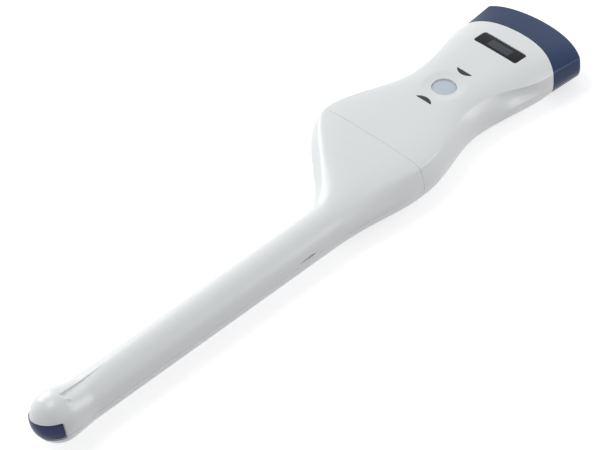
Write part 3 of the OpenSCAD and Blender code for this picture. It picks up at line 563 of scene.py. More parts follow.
def onFace(angle, z, radius):
    # a point on a cylinder about the convex face's axis
    return placed(nose["radius"] - radius * np.cos(angle), radius * np.sin(angle), z)


def faceAngle(ring):
    return np.arctan2(ring[:, 1], nose["radius"] - (probe["frontX"] - ring[:, 0]))


def lensOutline(ring, shrink=0.0):
    # for each point of a ring round the face, the matching point of the lens opening: angle and height
    angle, z, power = faceAngle(ring), ring[:, 2], convexLens["square"]
    middle = (z.max() + z.min()) / 2
    a, b = angle / np.abs(angle).max(), (z - middle) / (z.max() - middle)
    reach = (np.abs(a) ** power + np.abs(b) ** power) ** (1 / power)
    halfAngle = math.radians(convexLens["halfAngle"]) - shrink / nose["radius"]
    return a / reach * halfAngle, middle + b / reach * (convexLens["height"] / 2 - shrink), middle


def noseCapPiece():
    # joint edge, body, front edge, face, opening for the lens and spigot, back to the joint
    turns, edge, gap, joint = noseTurns(), noseCap["edge"], nose["jointGap"], handle["edge"]
    quarter, radius = quarterTurn(noseCap["edgeRows"]), nose["radius"]
    rows = []
    for a in quarter[:-1:2]:
        drawnIn, short = roundedEdge(joint, a)
        rows.append(noseRing(turns, 0, short, 0, gap + drawnIn))
    rows += [noseRing(turns, t, 0, edge, gap + joint)
             for t in np.linspace(0, 1, noseCap["bodyRows"])]
    rows += [noseRing(turns, 1, *roundedEdge(edge, a)) for a in quarter[1:]]
    rows = list(softenRidge(np.array(rows), turns, *noseCap["ridge"]))

    face = rows[-1]
    fromAngle, (toAngle, toHeight, _) = faceAngle(face), lensOutline(face)
    for t in noseCap["faceShares"]:
        rows.append(onFace(mix(fromAngle, toAngle, t), mix(face[:, 2], toHeight, t), radius))
    for a in quarter[::2]:
        drawnIn, short = roundedEdge(convexLens["lip"], a)
        angle, z, _ = lensOutline(face, -short)
        rows.append(onFace(angle, z, radius - drawnIn))
    rows += [onFace(toAngle, toHeight, radius - depth) for depth in noseCap["openingDepths"]]

    inset, back = probe["wall"] + noseCap["spigotGap"], -noseCap["spigot"]
    bevel = noseCap["spigotEdge"]
    rows += [noseRing(turns, 0, inset + noseCap["spigotWall"], 0, back),
             noseRing(turns, 0, inset + bevel, 0, back), noseRing(turns, 0, inset, 0, back + bevel),
             noseRing(turns, 0, inset, 0, gap)]
    tubePiece("noseCap", np.array(rows), slot="nose_navy", stands=["convex_nose"])
    return face


def convexLensPiece(face):
    # fills the opening, its front crowned and its edges rounded
    gap, edge, sunk = convexLens["gap"], convexLens["edge"], nose["radius"] - convexLens["sink"]
    angle, z, middle = lensOutline(face, gap)

    def front(z, radius):
        return radius - convexLens["crown"] * ((z - middle) / (convexLens["height"] / 2)) ** 2

    rings = [onFace(angle * scale, mix(middle, z, scale), nose["radius"] - convexLens["thickness"])
             for scale in (convexLens["hubShare"], 1)]
    for a in quarterTurn(convexLens["edgeRows"]):
        drawnIn, short = roundedEdge(edge, a)
        angle, z, _ = lensOutline(face, gap + drawnIn)
        rings.append(onFace(angle, z, front(z, sunk - short)))
    for scale in np.linspace(convexLens["rimShare"], convexLens["hubShare"], convexLens["rows"]):
        inner = mix(middle, z, scale)
        rings.append(onFace(angle * scale, inner, front(inner, sunk)))
    cappedPiece("convexLens", rings, slot="lens_slate", stands=["convex_lens"],
                sharpAngle=convexLens["sharpAngle"])


convexLensPiece(noseCapPiece())
print("nose made")


# Neck, shaft and ball in two halves

shaft = {
    "partingGap": 0.05, "partingEdge": 0.42, "seamEdge": 0.18, "seamGap": 0.07, "edgeRows": 5,
    "neckStep": 1.1, "shaftStep": 3, "firstStep": 0.8, "pastNeck": 6, "beforeFlare": 2,
    "flareRows": 28, "ballRows": 28, "lastBallAngle": 80, "lowColumns": 44,
    "cornerWeight": 1.5, "leastShare": 0.000001, "softening": (0, 28), "roundFrom": (30, 58),
}


def shaftStations():
    # stations with the inset that rounds the edge at the seam
    start, edge = probe["seamStation"] + shaft["seamGap"], shaft["seamEdge"]
    drawnIn, short = roundedEdge(edge, quarterTurn(shaft["edgeRows"])[::-1])
    neck = np.arange(start + edge + shaft["firstStep"], neckEnd + shaft["pastNeck"], shaft["neckStep"])
    straight = np.arange(neckEnd + shaft["pastNeck"] + shaft["shaftStep"],
                         flareStation - shaft["beforeFlare"], shaft["shaftStep"])
    flare = np.linspace(flareStation - shaft["beforeFlare"] / 2, tipStation, shaft["flareRows"])
    return list(zip(start + short, drawnIn)) + [(s, 0) for s in np.concatenate([neck, straight, flare])]


def archRow(s, height, radius, turns, upper):
    # a round row that starts and ends at the parting plane
    size = np.abs(turns)
    start = math.degrees(math.asin((probe["axisHeight"] - height) / radius))
    if upper:
        part = np.where(size < ridgeTurn, 1 - 0.5 * size / ridgeTurn,
                        0.5 * (1 - (size - ridgeTurn) / (1 - ridgeTurn)))
    else:
        part = size - 1
    angle = np.radians(start + (90 - start if upper else 90 + start) * part)
    return placed(s, shaftY + np.sign(turns) * radius * np.cos(angle), height + radius * np.sin(angle))


def neckRow(s, inset, turns, upper):
    if not upper:
        # one run of columns round the corner and across the flat, however long either is
        corner = mix(probe["lowCorner"] - inset, halfWidth(s), neckShare(s))
        far, near = sideLines(s)
        flat = max((far + near) / 2 - inset - corner, 0)
        bend = shaft["cornerWeight"] * corner / (shaft["cornerWeight"] * corner + flat)
        reach = 1 - np.abs(turns)
        rest = max(1 - bend, shaft["leastShare"])
        turn = np.where(reach < bend, 1 + reach / bend, 2 + (reach - bend) / rest)
        turns = np.where(turns < 0, -turn, turn)
    return placed(s, *sectionPoint(np.full_like(turns, s), turns, inset))


def partedRow(row, upper):
    # lifts a row off the parting plane and rounds its two edges there
    way, edge, axis = (1 if upper else -1), shaft["partingEdge"], probe["axisHeight"]
    level = axis + way * shaft["partingGap"]
    peak = row[:, 2].max() if upper else row[:, 2].min()
    row[:, 2] = mix(level + way * edge, peak, (row[:, 2] - axis) / (peak - axis))
    middle = (row[0, 1] + row[-1, 1]) / 2

    def edgeOf(point):
        side = np.sign(point[1] - middle)
        drawnIn, short = roundedEdge(edge, quarterTurn(shaft["edgeRows"])[1:])
        return [np.array([point[0], point[1] - side * inset, level + way * rise])
                for inset, rise in zip(drawnIn, short)]

    return np.array(edgeOf(row[0])[::-1] + list(row) + edgeOf(row[-1]))


def shaftGrid(upper, inner):
    turns = bothSides(topTurns() if upper else np.linspace(0, 1, shaft["lowColumns"]))
    if inner:
        # as many columns as the outer grid has with its rounded edges
        count = len(turns) + 2 * (shaft["edgeRows"] - 1)
        turns = np.interp(np.linspace(0, 1, count), np.linspace(0, 1, len(turns)), turns)
    axis, bore = probe["axisHeight"], probe["shaftRadius"] - probe["shaftWall"]
    ballHeight = axis + probe["tipRise"]
    rows = []
    for s, drop in shaftStations():
        if s <= flareStation:
            inset = mix(probe["wall"], probe["shaftWall"], neckShare(s)) if inner else drop
            rows.append(neckRow(s, inset, turns, upper))
        elif inner:
            rows.append(archRow(s, axis, bore, turns, upper))
        else:
            share = flareShare(s)
            rows.append(archRow(s, mix(axis, ballHeight, share),
                                mix(probe["shaftRadius"], probe["tipRadius"], share), turns, upper))
    radius, height = (bore, axis) if inner else (probe["tipRadius"], ballHeight)
    for a in np.radians(np.linspace(0, shaft["lastBallAngle"], shaft["ballRows"])[1:]):
        s, r = tipStation + radius * math.sin(a), radius * math.cos(a)
        rows.append(archRow(s, height, r, turns, upper))
    grid = np.array(rows)
    if inner:
        grid[:, [0, -1], 2] = axis + (1 if upper else -1) * shaft["partingGap"]
        return grid
    if upper:
        past = atStation(probe["seamStation"]) - grid[:, 0, 0]
        soft = softenTowards(grid, turns, span(past, *shaft["softening"]),
                             probe["softRidge"], probe["neckRidge"])
        grid = mix(soft, grid, span(past, *shaft["roundFrom"])[:, None, None])
    return np.array([partedRow(row, upper) for row in grid])


def topSurface(s, y):
    # height of the outer surface over a place beside the shaft's axis
    share = flareShare(s)
    height = probe["axisHeight"] + probe["tipRise"] * share
    radius = mix(probe["shaftRadius"], probe["tipRadius"], share)
    return height + np.sqrt(radius ** 2 - y ** 2)


# Guide recess with its locating dimple, and the latch notch

recess = {
    "station": 382.5, "start": 351, "depth": 1.5, "wallOff": -0.3, "width": 7, "slant": 2.2,
    "deepening": 1.2, "endShare": 0.09, "over": 0.1, "rows": 40, "columns": 15,
    "lidOff": 0.5, "lidLow": 8, "lidHigh": 14,
}
dimple = {
    "station": 381.3, "off": 6, "radius": 3, "depth": 0.9, "ringStep": 10, "rows": 24, "hubTurn": 0.05,
}
notch = {
    "station": 224, "length": 14, "bulge": 1.3, "rise": 2.3, "depth": 1.7, "steps": 25, "reach": 5,
}


def guideRecess():
    # a recess that deepens towards the ball, steep on its far side and running out on its near side
    across, over = np.linspace(0, 1, recess["columns"]), recess["over"]
    rings = []
    for s in np.linspace(recess["station"], recess["start"], recess["rows"]):
        y = recess["wallOff"] + recess["slant"] * (1 - flareShare(s)) - recess["width"] * across
        part = (s - recess["start"]) / (recess["station"] - recess["start"])
        deep = recess["depth"] * part ** recess["deepening"] * ease((1 - part) / recess["endShare"])
        z = topSurface(s, y) + over - (deep + over) * (1 - ease(across))
        lidY = [y[-1] - recess["lidOff"], y[0]]
        lidZ = [z[-1] + recess["lidLow"], z[-1] + recess["lidHigh"]]
        rings.append(placed(s, shaftY + np.append(y, lidY), np.append(z, lidZ)))
    return cappedPiece("cutRecess", rings)


def locatingDimple():
    s, y, radius = dimple["station"], -dimple["off"], dimple["radius"]
    middle = np.array([atStation(s), shaftY + y, topSurface(s, y)])
    ball = np.array([atStation(tipStation), shaftY, probe["axisHeight"] + probe["tipRise"]])
    out = (middle - ball) / np.linalg.norm(middle - ball)
    middle = middle + out * (radius - dimple["depth"])
    ring = np.array([(x, y, 0) for x, y in circle(1, dimple["ringStep"])])
    rings = [middle + ring * radius * math.sin(a) + [0, 0, -radius * math.cos(a)]
             for a in np.linspace(dimple["hubTurn"], math.pi - dimple["hubTurn"], dimple["rows"])]
    return cappedPiece("cutDimple", rings)


def latchNotch():
    # a leaf-shaped slot in the near flank, a little above the parting line
    half = notch["length"] / 2
    leaf = [(t, notch["bulge"] * (1 - t * t) * (1 + t) / 2)
            for t in np.linspace(-1, 1, notch["steps"])]
    outline = [(half * t, wide) for t, wide in leaf] + [(half * t, -wide) for t, wide in leaf[-2:0:-1]]
    rings = [np.array([(x, y, z) for x, z in outline]) for y in (0, -notch["reach"])]
    near, up = shaftY - probe["shaftRadius"] + notch["depth"], probe["axisHeight"] + notch["rise"]
    return cappedPiece("cutNotch", moved(rings, atStation(notch["station"]), near, up))


# Cavity lens, its seat in the ball and the curved slabs behind it

cavity = {
    "halfAngle": 66, "height": 8.8, "corner": 1.1, "cornerSteps": 5, "outlineStep": 0.4, "gap": 0.12,
    "edge": 0.3, "edgeRows": 6, "thickness": 1, "roll": 15.5, "rimDepth": 0.3, "rimWidth": 0.5,
    "seatRadii": (3, 8), "cutterRadius": 16, "rimShare": 0.97, "hubShare": 0.03,
    "backRows": 12, "frontRows": 26, "cutterRows": 20, "sharpAngle": 60,
}
slabs = {
    "height": 6.6, "halfAngle": 56, "columns": 33,
    "cavityArray": (10.05, 10.9), "cavityBacking": (4, 9.95),  # inner and outer radius
}


def lensOutlineOnBall(grow=0.0):
    # the cavity lens's outline: length round the ball and height
    length = 2 * math.radians(cavity["halfAngle"]) * probe["tipRadius"]
    corners = np.array(roundedOutline(length + 2 * grow, cavity["height"] + 2 * grow,
                                      cavity["corner"] + grow, cavity["cornerSteps"]))
    points = []
    for a, b in zip(corners, np.roll(corners, -1, axis=0)):
        count = max(1, int(np.linalg.norm(b - a) / cavity["outlineStep"]))
        points += [mix(a, b, t) for t in np.arange(count) / count]
    return np.array(points)


def rolled(points):
    # carries points from the lens's own axes, its near end rolled upwards, to the ball's place
    turn = np.array(Matrix.Rotation(math.radians(-cavity["roll"]), 3, "X"))
    return points @ turn.T + [atStation(tipStation), shaftY, probe["axisHeight"]]


def onUpright(flat, radius):
    # an outline wrapped round the lens's upright axis at a radius
    angle = flat[:, 0] / probe["tipRadius"]
    return rolled(np.column_stack([-radius * np.cos(angle), radius * np.sin(angle), flat[:, 1]]))


def onBall(flat, depth=0.0):
    # an outline wrapped round the lens's upright axis, at a depth under the ball's skin
    angle, height = flat[:, 0] / probe["tipRadius"], flat[:, 1]
    rise, roll = probe["tipRise"], math.radians(cavity["roll"])
    side = rise * math.sin(roll) * np.sin(angle)
    reach = side + np.sqrt(side ** 2 + probe["tipRadius"] ** 2 - (rise * math.sin(roll)) ** 2
                           - (height - rise * math.cos(roll)) ** 2) - depth
    return onUpright(flat, reach)


def shrinking(flat, start, end, rows):
    # copies of an outline that shrink, or grow, about its middle
    return [flat * scale for scale in np.linspace(start, end, rows)]


def lensSeat():
    flat = lensOutlineOnBall(cavity["gap"])
    lid = shrinking(flat, cavity["rimShare"], cavity["hubShare"], cavity["cutterRows"])
    rings = [onUpright(flat, radius) for radius in (*cavity["seatRadii"], cavity["cutterRadius"])]
    rings += [onUpright(ring, cavity["cutterRadius"]) for ring in lid]
    return cappedPiece("cutLensSeat", rings)


def lensRim():
    # a shallow step round the seat
    flat = lensOutlineOnBall(cavity["gap"] + cavity["rimWidth"])
    growing = shrinking(flat, cavity["hubShare"], 1, cavity["cutterRows"])
    rings = [onBall(ring, cavity["rimDepth"]) for ring in growing]
    rings += [onUpright(ring, cavity["cutterRadius"]) for ring in growing[::-1]]
    return cappedPiece("cutRim", rings)


def cavityLens():
    # a patch of the ball that wraps round its front, with rounded edges and a hollow back
    outline, rim = lensOutlineOnBall(), lensOutlineOnBall(-cavity["edge"])
    back = shrinking(outline, cavity["hubShare"], 1, cavity["backRows"])
    front = shrinking(rim, cavity["rimShare"], cavity["hubShare"], cavity["frontRows"])
    rings = [onBall(ring, cavity["thickness"]) for ring in back]
    for a in quarterTurn(cavity["edgeRows"]):
        drawnIn, short = roundedEdge(cavity["edge"], a)
        rings.append(onBall(lensOutlineOnBall(-drawnIn), short))
    rings += [onBall(ring) for ring in front]
    cappedPiece("cavityLens", rings, slot="tip_navy", stands=["cavity_lens"],
                sharpAngle=cavity["sharpAngle"])


def arraySlab(name, node, slot):
    # a curved slab behind the lens, rolled with it
    (inner, outer), half, reach = slabs[name], slabs["height"] / 2, slabs["halfAngle"]
    section = [(inner, -half), (outer, -half), (outer, half), (inner, half)]
    rings = [rolled(np.array([(-r * math.cos(a), r * math.sin(a), z) for r, z in section]))
             for a in np.radians(np.linspace(-reach, reach, slabs["columns"]))]
    cappedPiece(name, rings, slot=slot, stands=[node])


def shaftHalf(name, node, upper):
    piece = wallPiece(name, shaftGrid(upper, False), shaftGrid(upper, True),
                      slot="shell_white", stands=[node])
    cutters = [lensSeat(), lensRim()]
    if upper:
        cutters += [guideRecess(), locatingDimple(), latchNotch()]
    cutOut(piece, cutters)


shaftHalf("shaftTop", "shaft_upper_shell", True)
shaftHalf("shaftBottom", "shaft_lower_shell", False)
cavityLens()
arraySlab("cavityArray", "cavity_array", "piezo_gold")
arraySlab("cavityBacking", "cavity_backing", "foam_dark")
print("shaft made")


# Display window, button and light guides

def displayWindow():
    outline = roundedOutline(display["length"], display["width"], display["corner"])
    rings = moved(padRings(outline, -display["glass"], 0, display["edge"]), *displayPlace())
    cappedPiece("displayWindow", rings, slot="window_black", stands=["display_window"])


def powerButton():
    radius, stemRadius, edge = button["diameter"] / 2, button["stemDiameter"] / 2, button["edge"]
    flange, bevel, hub = radius + button["flange"], button["flangeEdge"], button["hub"]
    top = probe["topHeight"] - button["dishDepth"] - button["sink"]
    cap = top - button["capHeight"]
    stem = cap - button["flangeHeight"]
    crownRadius = capRadius(button["diameter"], button["crown"])

    def crown(r):
        return top - (crownRadius - math.sqrt(crownRadius ** 2 - r ** 2))

    # radius and height, from the stem's foot over the flange to the middle of the crown
    rim = radius - edge
    profile = [(hub, stem - button["stemHeight"]), (stemRadius, stem - button["stemHeight"]),
               (stemRadius, stem), (flange - bevel, stem), (flange, stem + bevel),
               (flange, cap - bevel), (flange - bevel, cap), (radius, cap)]
    profile += [(rim + edge * math.cos(a), crown(rim) - edge + edge * math.sin(a))
                for a in np.linspace(0, button["edgeTurn"], button["edgeRows"])]
    profile += [(r, crown(r)) for r in np.linspace(rim - hub, hub, button["crownRows"])]
    rings = moved([[(x, y, z) for x, y in circle(r, button["ringStep"])] for r, z in profile],
                  atStation(button["station"]), 0, 0)
    cappedPiece("powerButton", rings, body="button", slot="button_blue", stands=["power_button"])


def lightGuide(name, node, side):
    low, high = (corner[2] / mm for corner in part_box(node))
    rings = moved(padRings(crescent(side, 0), low, high, guide["edge"]), *guidePlace(side))
    cappedPiece(name, rings, slot="guide_smoke", stands=[node])


displayWindow()
powerButton()
lightGuide("convexLightGuide", "convex_light_guide", 1)
lightGuide("cavityLightGuide", "cavity_light_guide", -1)
print("display, button and light guides made")


# Finishes. Bump depths and peel are in metres, as the shader nodes take them.

class Wire:
    # the output of a shader node, with sums that add Math nodes
    def __init__(self, tree, socket):
        self.tree, self.socket = tree, socket

    def maths(self, kind, first, second):
        return self.tree.node("ShaderNodeMath", {"operation": kind}, {0: first, 1: second})

    def __add__(self, other):
        return self.maths("ADD", self, other)

    def __radd__(self, other):
        return self.maths("ADD", other, self)

    def __sub__(self, other):
        return self.maths("SUBTRACT", self, other)

    def __rsub__(self, other):
        return self.maths("SUBTRACT", other, self)

    def __mul__(self, other):
        return self.maths("MULTIPLY", self, other)

    def __rmul__(self, other):
        return self.maths("MULTIPLY", other, self)

    def __abs__(self):
        return self.tree.node("ShaderNodeMath", {"operation": "ABSOLUTE"}, {0: self})


class ShaderTree:
    # the nodes of a material or of the world
    def __init__(self, tree):
        self.tree = tree

    def feed(self, socket, value):
        if isinstance(value, Wire):
            self.tree.links.new(value.socket, socket)
        elif isinstance(value, tuple) and socket.type == "RGBA":
            socket.default_value = (*value, 1)
        else:
            socket.default_value = value

    def node(self, kind, settings=None, sockets=None, out=0):
        made = self.tree.nodes.new(kind)
        for key, value in (settings or {}).items():
            if key == "stops":
                for element, (position, color) in zip(made.color_ramp.elements, value):
                    element.position, element.color = position, (*color, 1)
            else:
                setattr(made, key, value)
        for key, value in (sockets or {}).items():
            self.feed(made.inputs[key], value)
        return Wire(self, made.outputs[out])

    def place(self):
        return self.node("ShaderNodeTexCoord", out="Object")

    def along(self, axis):
        return self.node("ShaderNodeSeparateXYZ", sockets={"Vector": self.place()}, out=axis)

    def noise(self, scale, detail=2.0, stretch=None):
        place = self.place()
        if stretch:
            place = self.node("ShaderNodeMapping", sockets={"Vector": place, "Scale": stretch})
        return self.node("ShaderNodeTexNoise", sockets={
            "Vector": place, "Scale": scale, "Detail": detail})

    def between(self, share, a, b):
        # 6 and 7 are the mix node's two colours
        return self.node("ShaderNodeMix", {"data_type": "RGBA"}, {"Factor": share, 6: a, 7: b}, out=2)

    def step(self, value, edge, softness):
        # 0 below the edge and 1 above it
        return self.node("ShaderNodeMapRange", {"interpolation_type": "SMOOTHSTEP"}, {
            "Value": value, "From Min": edge - softness, "From Max": edge + softness})

    def bump(self, height, distance):
        return self.node("ShaderNodeBump", sockets={
            "Height": height, "Distance": distance}, out="Normal")


class Finish(ShaderTree):
    # a material with one shader; what is the same all over sits on the shader's own sockets
    def __init__(self, name, fixed=None):
        self.material = bpy.data.materials.new(name)
        self.material.use_nodes = True
        super().__init__(self.material.node_tree)
        self.shader = self.tree.nodes["Principled BSDF"]
        self.set(fixed or {})

    def set(self, sockets):
        for name, value in sockets.items():
            self.feed(self.shader.inputs[name], value)
        return self.material

    def follow(self, pattern, dark, light, look):
        # one pattern drives the colour, the gloss and the relief together
        return self.set({
            "Base Color": self.between(pattern, dark, light),
            "Roughness": look["roughness"] + pattern * look["smear"],
            "Normal": self.bump(pattern, look["depth"])})


peels = {"glossy": 0.000002, "plain": 0.000004, "satin": 0.00001, "matt": 0.00002, "rough": 0.00003}


def tinted(color, share):
    return tuple(c * share for c in color)


def specular(level):
    return {"Specular IOR Level": level}


mould = {"driftScale": 45, "glossScale": 60, "glossShare": 0.2, "grain": 260, "shade": 0.97}


def moulded(name, color, roughness, peel="plain", fixed=None, **other):
    # moulded plastic: a trace of colour drift, a trace of orange peel and a little wear in its gloss
    finish, look = Finish(name, fixed), {**mould, **other}
    drift, gloss = finish.noise(look["driftScale"]), finish.noise(look["glossScale"]) - 0.5
    return finish.set({
        "Base Color": finish.between(drift, tinted(color, look["shade"]), color),
        "Roughness": roughness + gloss * (roughness * look["glossShare"]),
        "Normal": finish.bump(finish.noise(look["grain"], 0.0), peels[peel])})


window = {
    "activeHalfLength": 2.8, "activeHalfWidth": 7.4, "activeBlur": 0.1, "glass": (0.006, 0.008, 0.012),
    "panel": (0.045, 0.05, 0.062), "panelLight": (0.058, 0.064, 0.078), "panelScale": 90,
    "roughness": 0.12, "smear": 0.05, "smearScale": 200, "peelScale": 120, "specular": 0.2,
}


def windowFinish():
    # dark glass with the panel's lighter active area under it
    finish = Finish("windowBlack", specular(window["specular"]))
    middle, blur = displayPlace()[0] * mm, window["activeBlur"] * mm
    outX = finish.step(abs(finish.along("X") - middle), window["activeHalfLength"] * mm, blur)
    outY = finish.step(abs(finish.along("Y")), window["activeHalfWidth"] * mm, blur)
    panel = finish.between(finish.noise(window["panelScale"]), window["panel"], window["panelLight"])
    return finish.set({
        "Base Color": finish.between((1 - outX) * (1 - outY), window["glass"], panel),
        "Roughness": window["roughness"] + finish.noise(window["smearScale"]) * window["smear"],
        "Normal": finish.bump(finish.noise(window["peelScale"], 0.0), peels["glossy"])})


board = {
    "mask": (0.012, 0.11, 0.045), "track": (0.03, 0.21, 0.09), "trackScale": 700,
    "stretch": (1, 0.25, 1), "trackEdge": 0.54, "trackBlur": 0.02, "roughness": 0.42,
    "smear": -0.1, "depth": 0.00003,
}


def boardFinish():
    finish = Finish("boardGreen")
    track = finish.step(finish.noise(board["trackScale"], stretch=board["stretch"]),
                        board["trackEdge"], board["trackBlur"])
    return finish.follow(track, board["mask"], board["track"], board)


metal = {"scale": 500, "shade": 0.88, "smear": 0.12, "depth": 0.00001}
brushed = {"along": (1, 12, 1), "turned": (1, 1, 8), "plain": (1, 1, 1)}


def metalFinish(name, color, roughness, brush="along"):
    finish = Finish(name, {"Metallic": 1.0})
    lines = finish.noise(metal["scale"], stretch=brushed[brush])
    look = {**metal, "roughness": roughness}
    return finish.follow(lines, tinted(color, metal["shade"]), color, look)


coil = {
    "station": 109, "turnScale": 420.0, "unevenness": 0.4, "dark": (0.32, 0.13, 0.06),
    "light": (0.78, 0.38, 0.2), "roughness": 0.3, "smear": 0.1, "depth": 0.00008,
}


def woundFinish():
    # turns of fine wire round the coil
    finish = Finish("coilCopper", {"Metallic": 1.0})
    place = finish.node("ShaderNodeMapping", sockets={
        "Vector": finish.place(), "Location": (-atStation(coil["station"]) * mm, 0, 0)})
    wave = finish.node("ShaderNodeTexWave", {"wave_type": "RINGS", "rings_direction": "Z"}, {
        "Vector": place, "Scale": coil["turnScale"], "Distortion": coil["unevenness"], "Detail": 1.0})
    return finish.follow(wave, coil["dark"], coil["light"], coil)


foam = {
    "cellScale": 2200.0, "darkShare": 0.6, "lightShare": 1.3, "roughness": 0.8, "smear": 0.15,
    "smearScale": 400, "depth": 0.00005,
}


def foamFinish(name, color):
    finish = Finish(name)
    cells = finish.node("ShaderNodeTexVoronoi", sockets={
        "Vector": finish.place(), "Scale": foam["cellScale"]})
    return finish.set({
        "Base Color": finish.between(cells, tinted(color, foam["darkShare"]),
                                     tinted(color, foam["lightShare"])),
        "Roughness": foam["roughness"] + finish.noise(foam["smearScale"]) * foam["smear"],
        "Normal": finish.bump(cells, foam["depth"])})


diode = {
    "dark": (0.8, 0.74, 0.42), "light": (0.92, 0.9, 0.68), "scale": 600, "roughness": 0.3,
    "smear": 0.1, "depth": 0.00002,
}


def diodeFinish():
    finish = Finish("ledYellow")
    return finish.follow(finish.noise(diode["scale"]), diode["dark"], diode["light"], diode)


# each slot's finish: name, colour and roughness, then what sets it apart
finishes = {
    "shell_white": moulded("shellWhite", (0.79, 0.812, 0.825), 0.34, "glossy",
                           {"Coat Weight": 0.2, "Coat Roughness": 0.15}, shade=0.98, grain=200),
    "nose_navy": moulded("noseNavy", (0.018, 0.042, 0.115), 0.22, "glossy", fixed=specular(0.25)),
    "lens_slate": moulded("lensSlate", (0.16, 0.19, 0.25), 0.45, "satin"),
    "tip_navy": moulded("tipNavy", (0.042, 0.055, 0.155), 0.26, fixed=specular(0.2)),
    "seal_grey": moulded("sealGrey", (0.2, 0.21, 0.225), 0.6, "matt"),
    "foam_dark": foamFinish("foamDark", (0.05, 0.05, 0.055)),
    "window_black": windowFinish(),
    "panel_dark": moulded("panelDark", (0.03, 0.036, 0.045), 0.25),
    "button_blue": moulded("buttonBlue", (0.54, 0.61, 0.69), 0.36, "glossy"),
    "guide_smoke": moulded("guideSmoke", (0.035, 0.04, 0.048), 0.3, fixed=specular(0.3)),
    "led_yellow": diodeFinish(),
    "board_green": boardFinish(),
    "plug_ivory": moulded("plugIvory", (0.78, 0.74, 0.63), 0.45),
    "can_silver": metalFinish("canSilver", (0.66, 0.67, 0.68), 0.24),
    "post_brass": metalFinish("postBrass", (0.75, 0.58, 0.28), 0.22, "turned"),
    "screw_steel": metalFinish("screwSteel", (0.5, 0.5, 0.52), 0.28, "plain"),
    "pouch_foil": metalFinish("pouchFoil", (0.55, 0.6, 0.68), 0.34, "plain"),
    "coil_copper": woundFinish(),
    "ferrite_grey": moulded("ferriteGrey", (0.09, 0.09, 0.095), 0.55, "matt"),
    "piezo_gold": metalFinish("piezoGold", (0.8, 0.62, 0.3), 0.3),
    "flex_amber": moulded("flexAmber", (0.55, 0.27, 0.05), 0.3, fixed={"Coat Weight": 0.3}),
    "sleeve_grey": moulded("sleeveGrey", (0.5, 0.51, 0.52), 0.5),
    "cable_grey": moulded("cableGrey", (0.12, 0.125, 0.13), 0.55, "rough"),
}
for piece in list(bpy.data.objects):
    if piece.type != "MESH":
        continue
    cadNames = [material.name.split(".")[0] for material in piece.data.materials if material]
    slotName = piece.get("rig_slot") or (cadNames[0] if cadNames else None)
    if slotName in finishes:
        piece.data.materials.clear()
        piece.data.materials.append(finishes[slotName])
    else:
        print("no finish for", piece.name, slotName)
print("finishes set:", len(finishes))


# Floor, light and camera, in metres

floorLook = {
    "size": 8, "drop": 0.0002, "color": (0.64, 0.64, 0.65), "shade": 0.985, "glow": 0.62,
    "roughness": 0.9, "smear": 0.05, "depth": 0.00002, "scale": 30,
}
skyLight = 0.36
lamps = {
    "rim": {"place": (0.1, 1.55, 0.55), "level": 0.5, "size": 1.2},
    "top": {"place": (-0.5, 0.5, 1.4), "level": 0.3, "size": 0.8},
    "ridge": {"place": (1.1, -0.85, 0.65), "level": 0.27, "size": 0.8},
}
camera = {
    "target": (-0.0075, -0.0112, 0.014), "azimuth": -46.29, "elevation": 42.69, "roll": 0.24,
    "distance": 1.5, "lens": 176.6, "sensor": 36, "clip": (0.05, 20),
}


def softLamp(name, place, level, size):
    # a level of 1 lights a white face turned to the lamp to full white
    lamp = bpy.data.lights.new(name, "AREA")
    lamp.shape, lamp.size = "DISK", size
    spot = Vector(place)
    lamp.energy = level * math.pi ** 2 * spot.length_squared
    holder = bpy.data.objects.new(name, lamp)
    holder.location = spot
    holder.rotation_euler = spot.to_track_quat("Z", "Y").to_euler()
    bpy.context.scene.collection.objects.link(holder)


def seenRays(tree):
    # 1 for rays that come from the camera or off a glossy or clear surface
    seen, glossy, clear = (tree.node("ShaderNodeLightPath", out=name) for name in (
        "Is Camera Ray", "Is Glossy Ray", "Is Transmission Ray"))
    return seen + glossy + clear


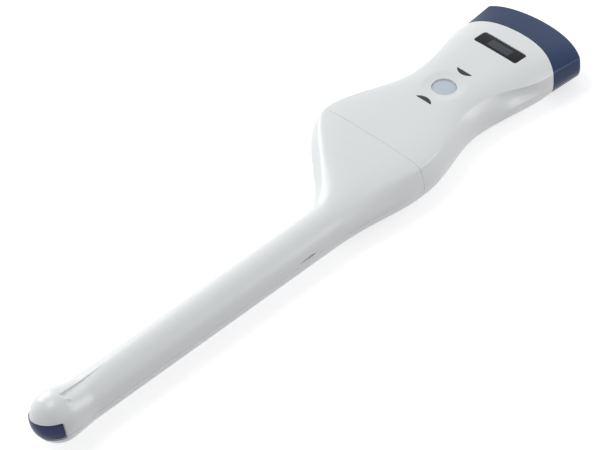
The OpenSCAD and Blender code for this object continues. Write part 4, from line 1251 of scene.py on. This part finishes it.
def floorFinish():
    finish = Finish("floorPale")
    grain, color = finish.noise(floorLook["scale"]), floorLook["color"]
    finish.follow(grain, tinted(color, floorLook["shade"]), color, floorLook)
    glow = finish.node("ShaderNodeEmission", sockets={
        "Color": (1, 1, 1), "Strength": seenRays(finish) * floorLook["glow"]})
    both = finish.node("ShaderNodeAddShader", sockets={
        0: Wire(finish, finish.shader.outputs[0]), 1: glow})
    finish.feed(finish.tree.nodes["Material Output"].inputs["Surface"], both)
    return finish.material


def floorPlane():
    half, z = floorLook["size"] / 2, -floorLook["drop"]
    mesh = bpy.data.meshes.new("floor")
    mesh.from_pydata([(-half, -half, z), (half, -half, z), (half, half, z), (-half, half, z)],
                     [], [(0, 1, 2, 3)])
    floor = bpy.data.objects.new("floor", mesh)
    bpy.context.scene.collection.objects.link(floor)
    mesh.materials.append(floorFinish())


def skyWorld():
    world = bpy.data.worlds.new("studio")
    bpy.context.scene.world = world
    world.use_nodes = True
    sky = ShaderTree(world.node_tree)
    background = sky.tree.nodes["Background"]
    sky.feed(background.inputs["Color"], (1, 1, 1))
    sky.feed(background.inputs["Strength"], seenRays(sky) * (1 - skyLight) + skyLight)


def photoCamera():
    data = bpy.data.cameras.new("camera")
    data.lens, data.sensor_width = camera["lens"], camera["sensor"]
    data.clip_start, data.clip_end = camera["clip"]
    holder = bpy.data.objects.new("camera", data)
    a, e, r = (math.radians(camera[key]) for key in ("azimuth", "elevation", "roll"))
    back = Vector((math.sin(a) * math.cos(e), -math.cos(a) * math.cos(e), math.sin(e)))
    right = Vector((math.cos(a), math.sin(a), 0))
    up = back.cross(right)
    right, up = right * math.cos(r) + up * math.sin(r), up * math.cos(r) - right * math.sin(r)
    matrix = Matrix((right, up, back)).transposed().to_4x4()
    matrix.translation = Vector(camera["target"]) + back * camera["distance"]
    holder.matrix_world = matrix
    bpy.context.scene.collection.objects.link(holder)
    bpy.context.scene.camera = holder


floorPlane()
skyWorld()
for lampName, lampLook in lamps.items():
    softLamp(lampName, **lampLook)
photoCamera()
bpy.context.scene.view_settings.view_transform = "Standard"
print("stage, light and camera set")
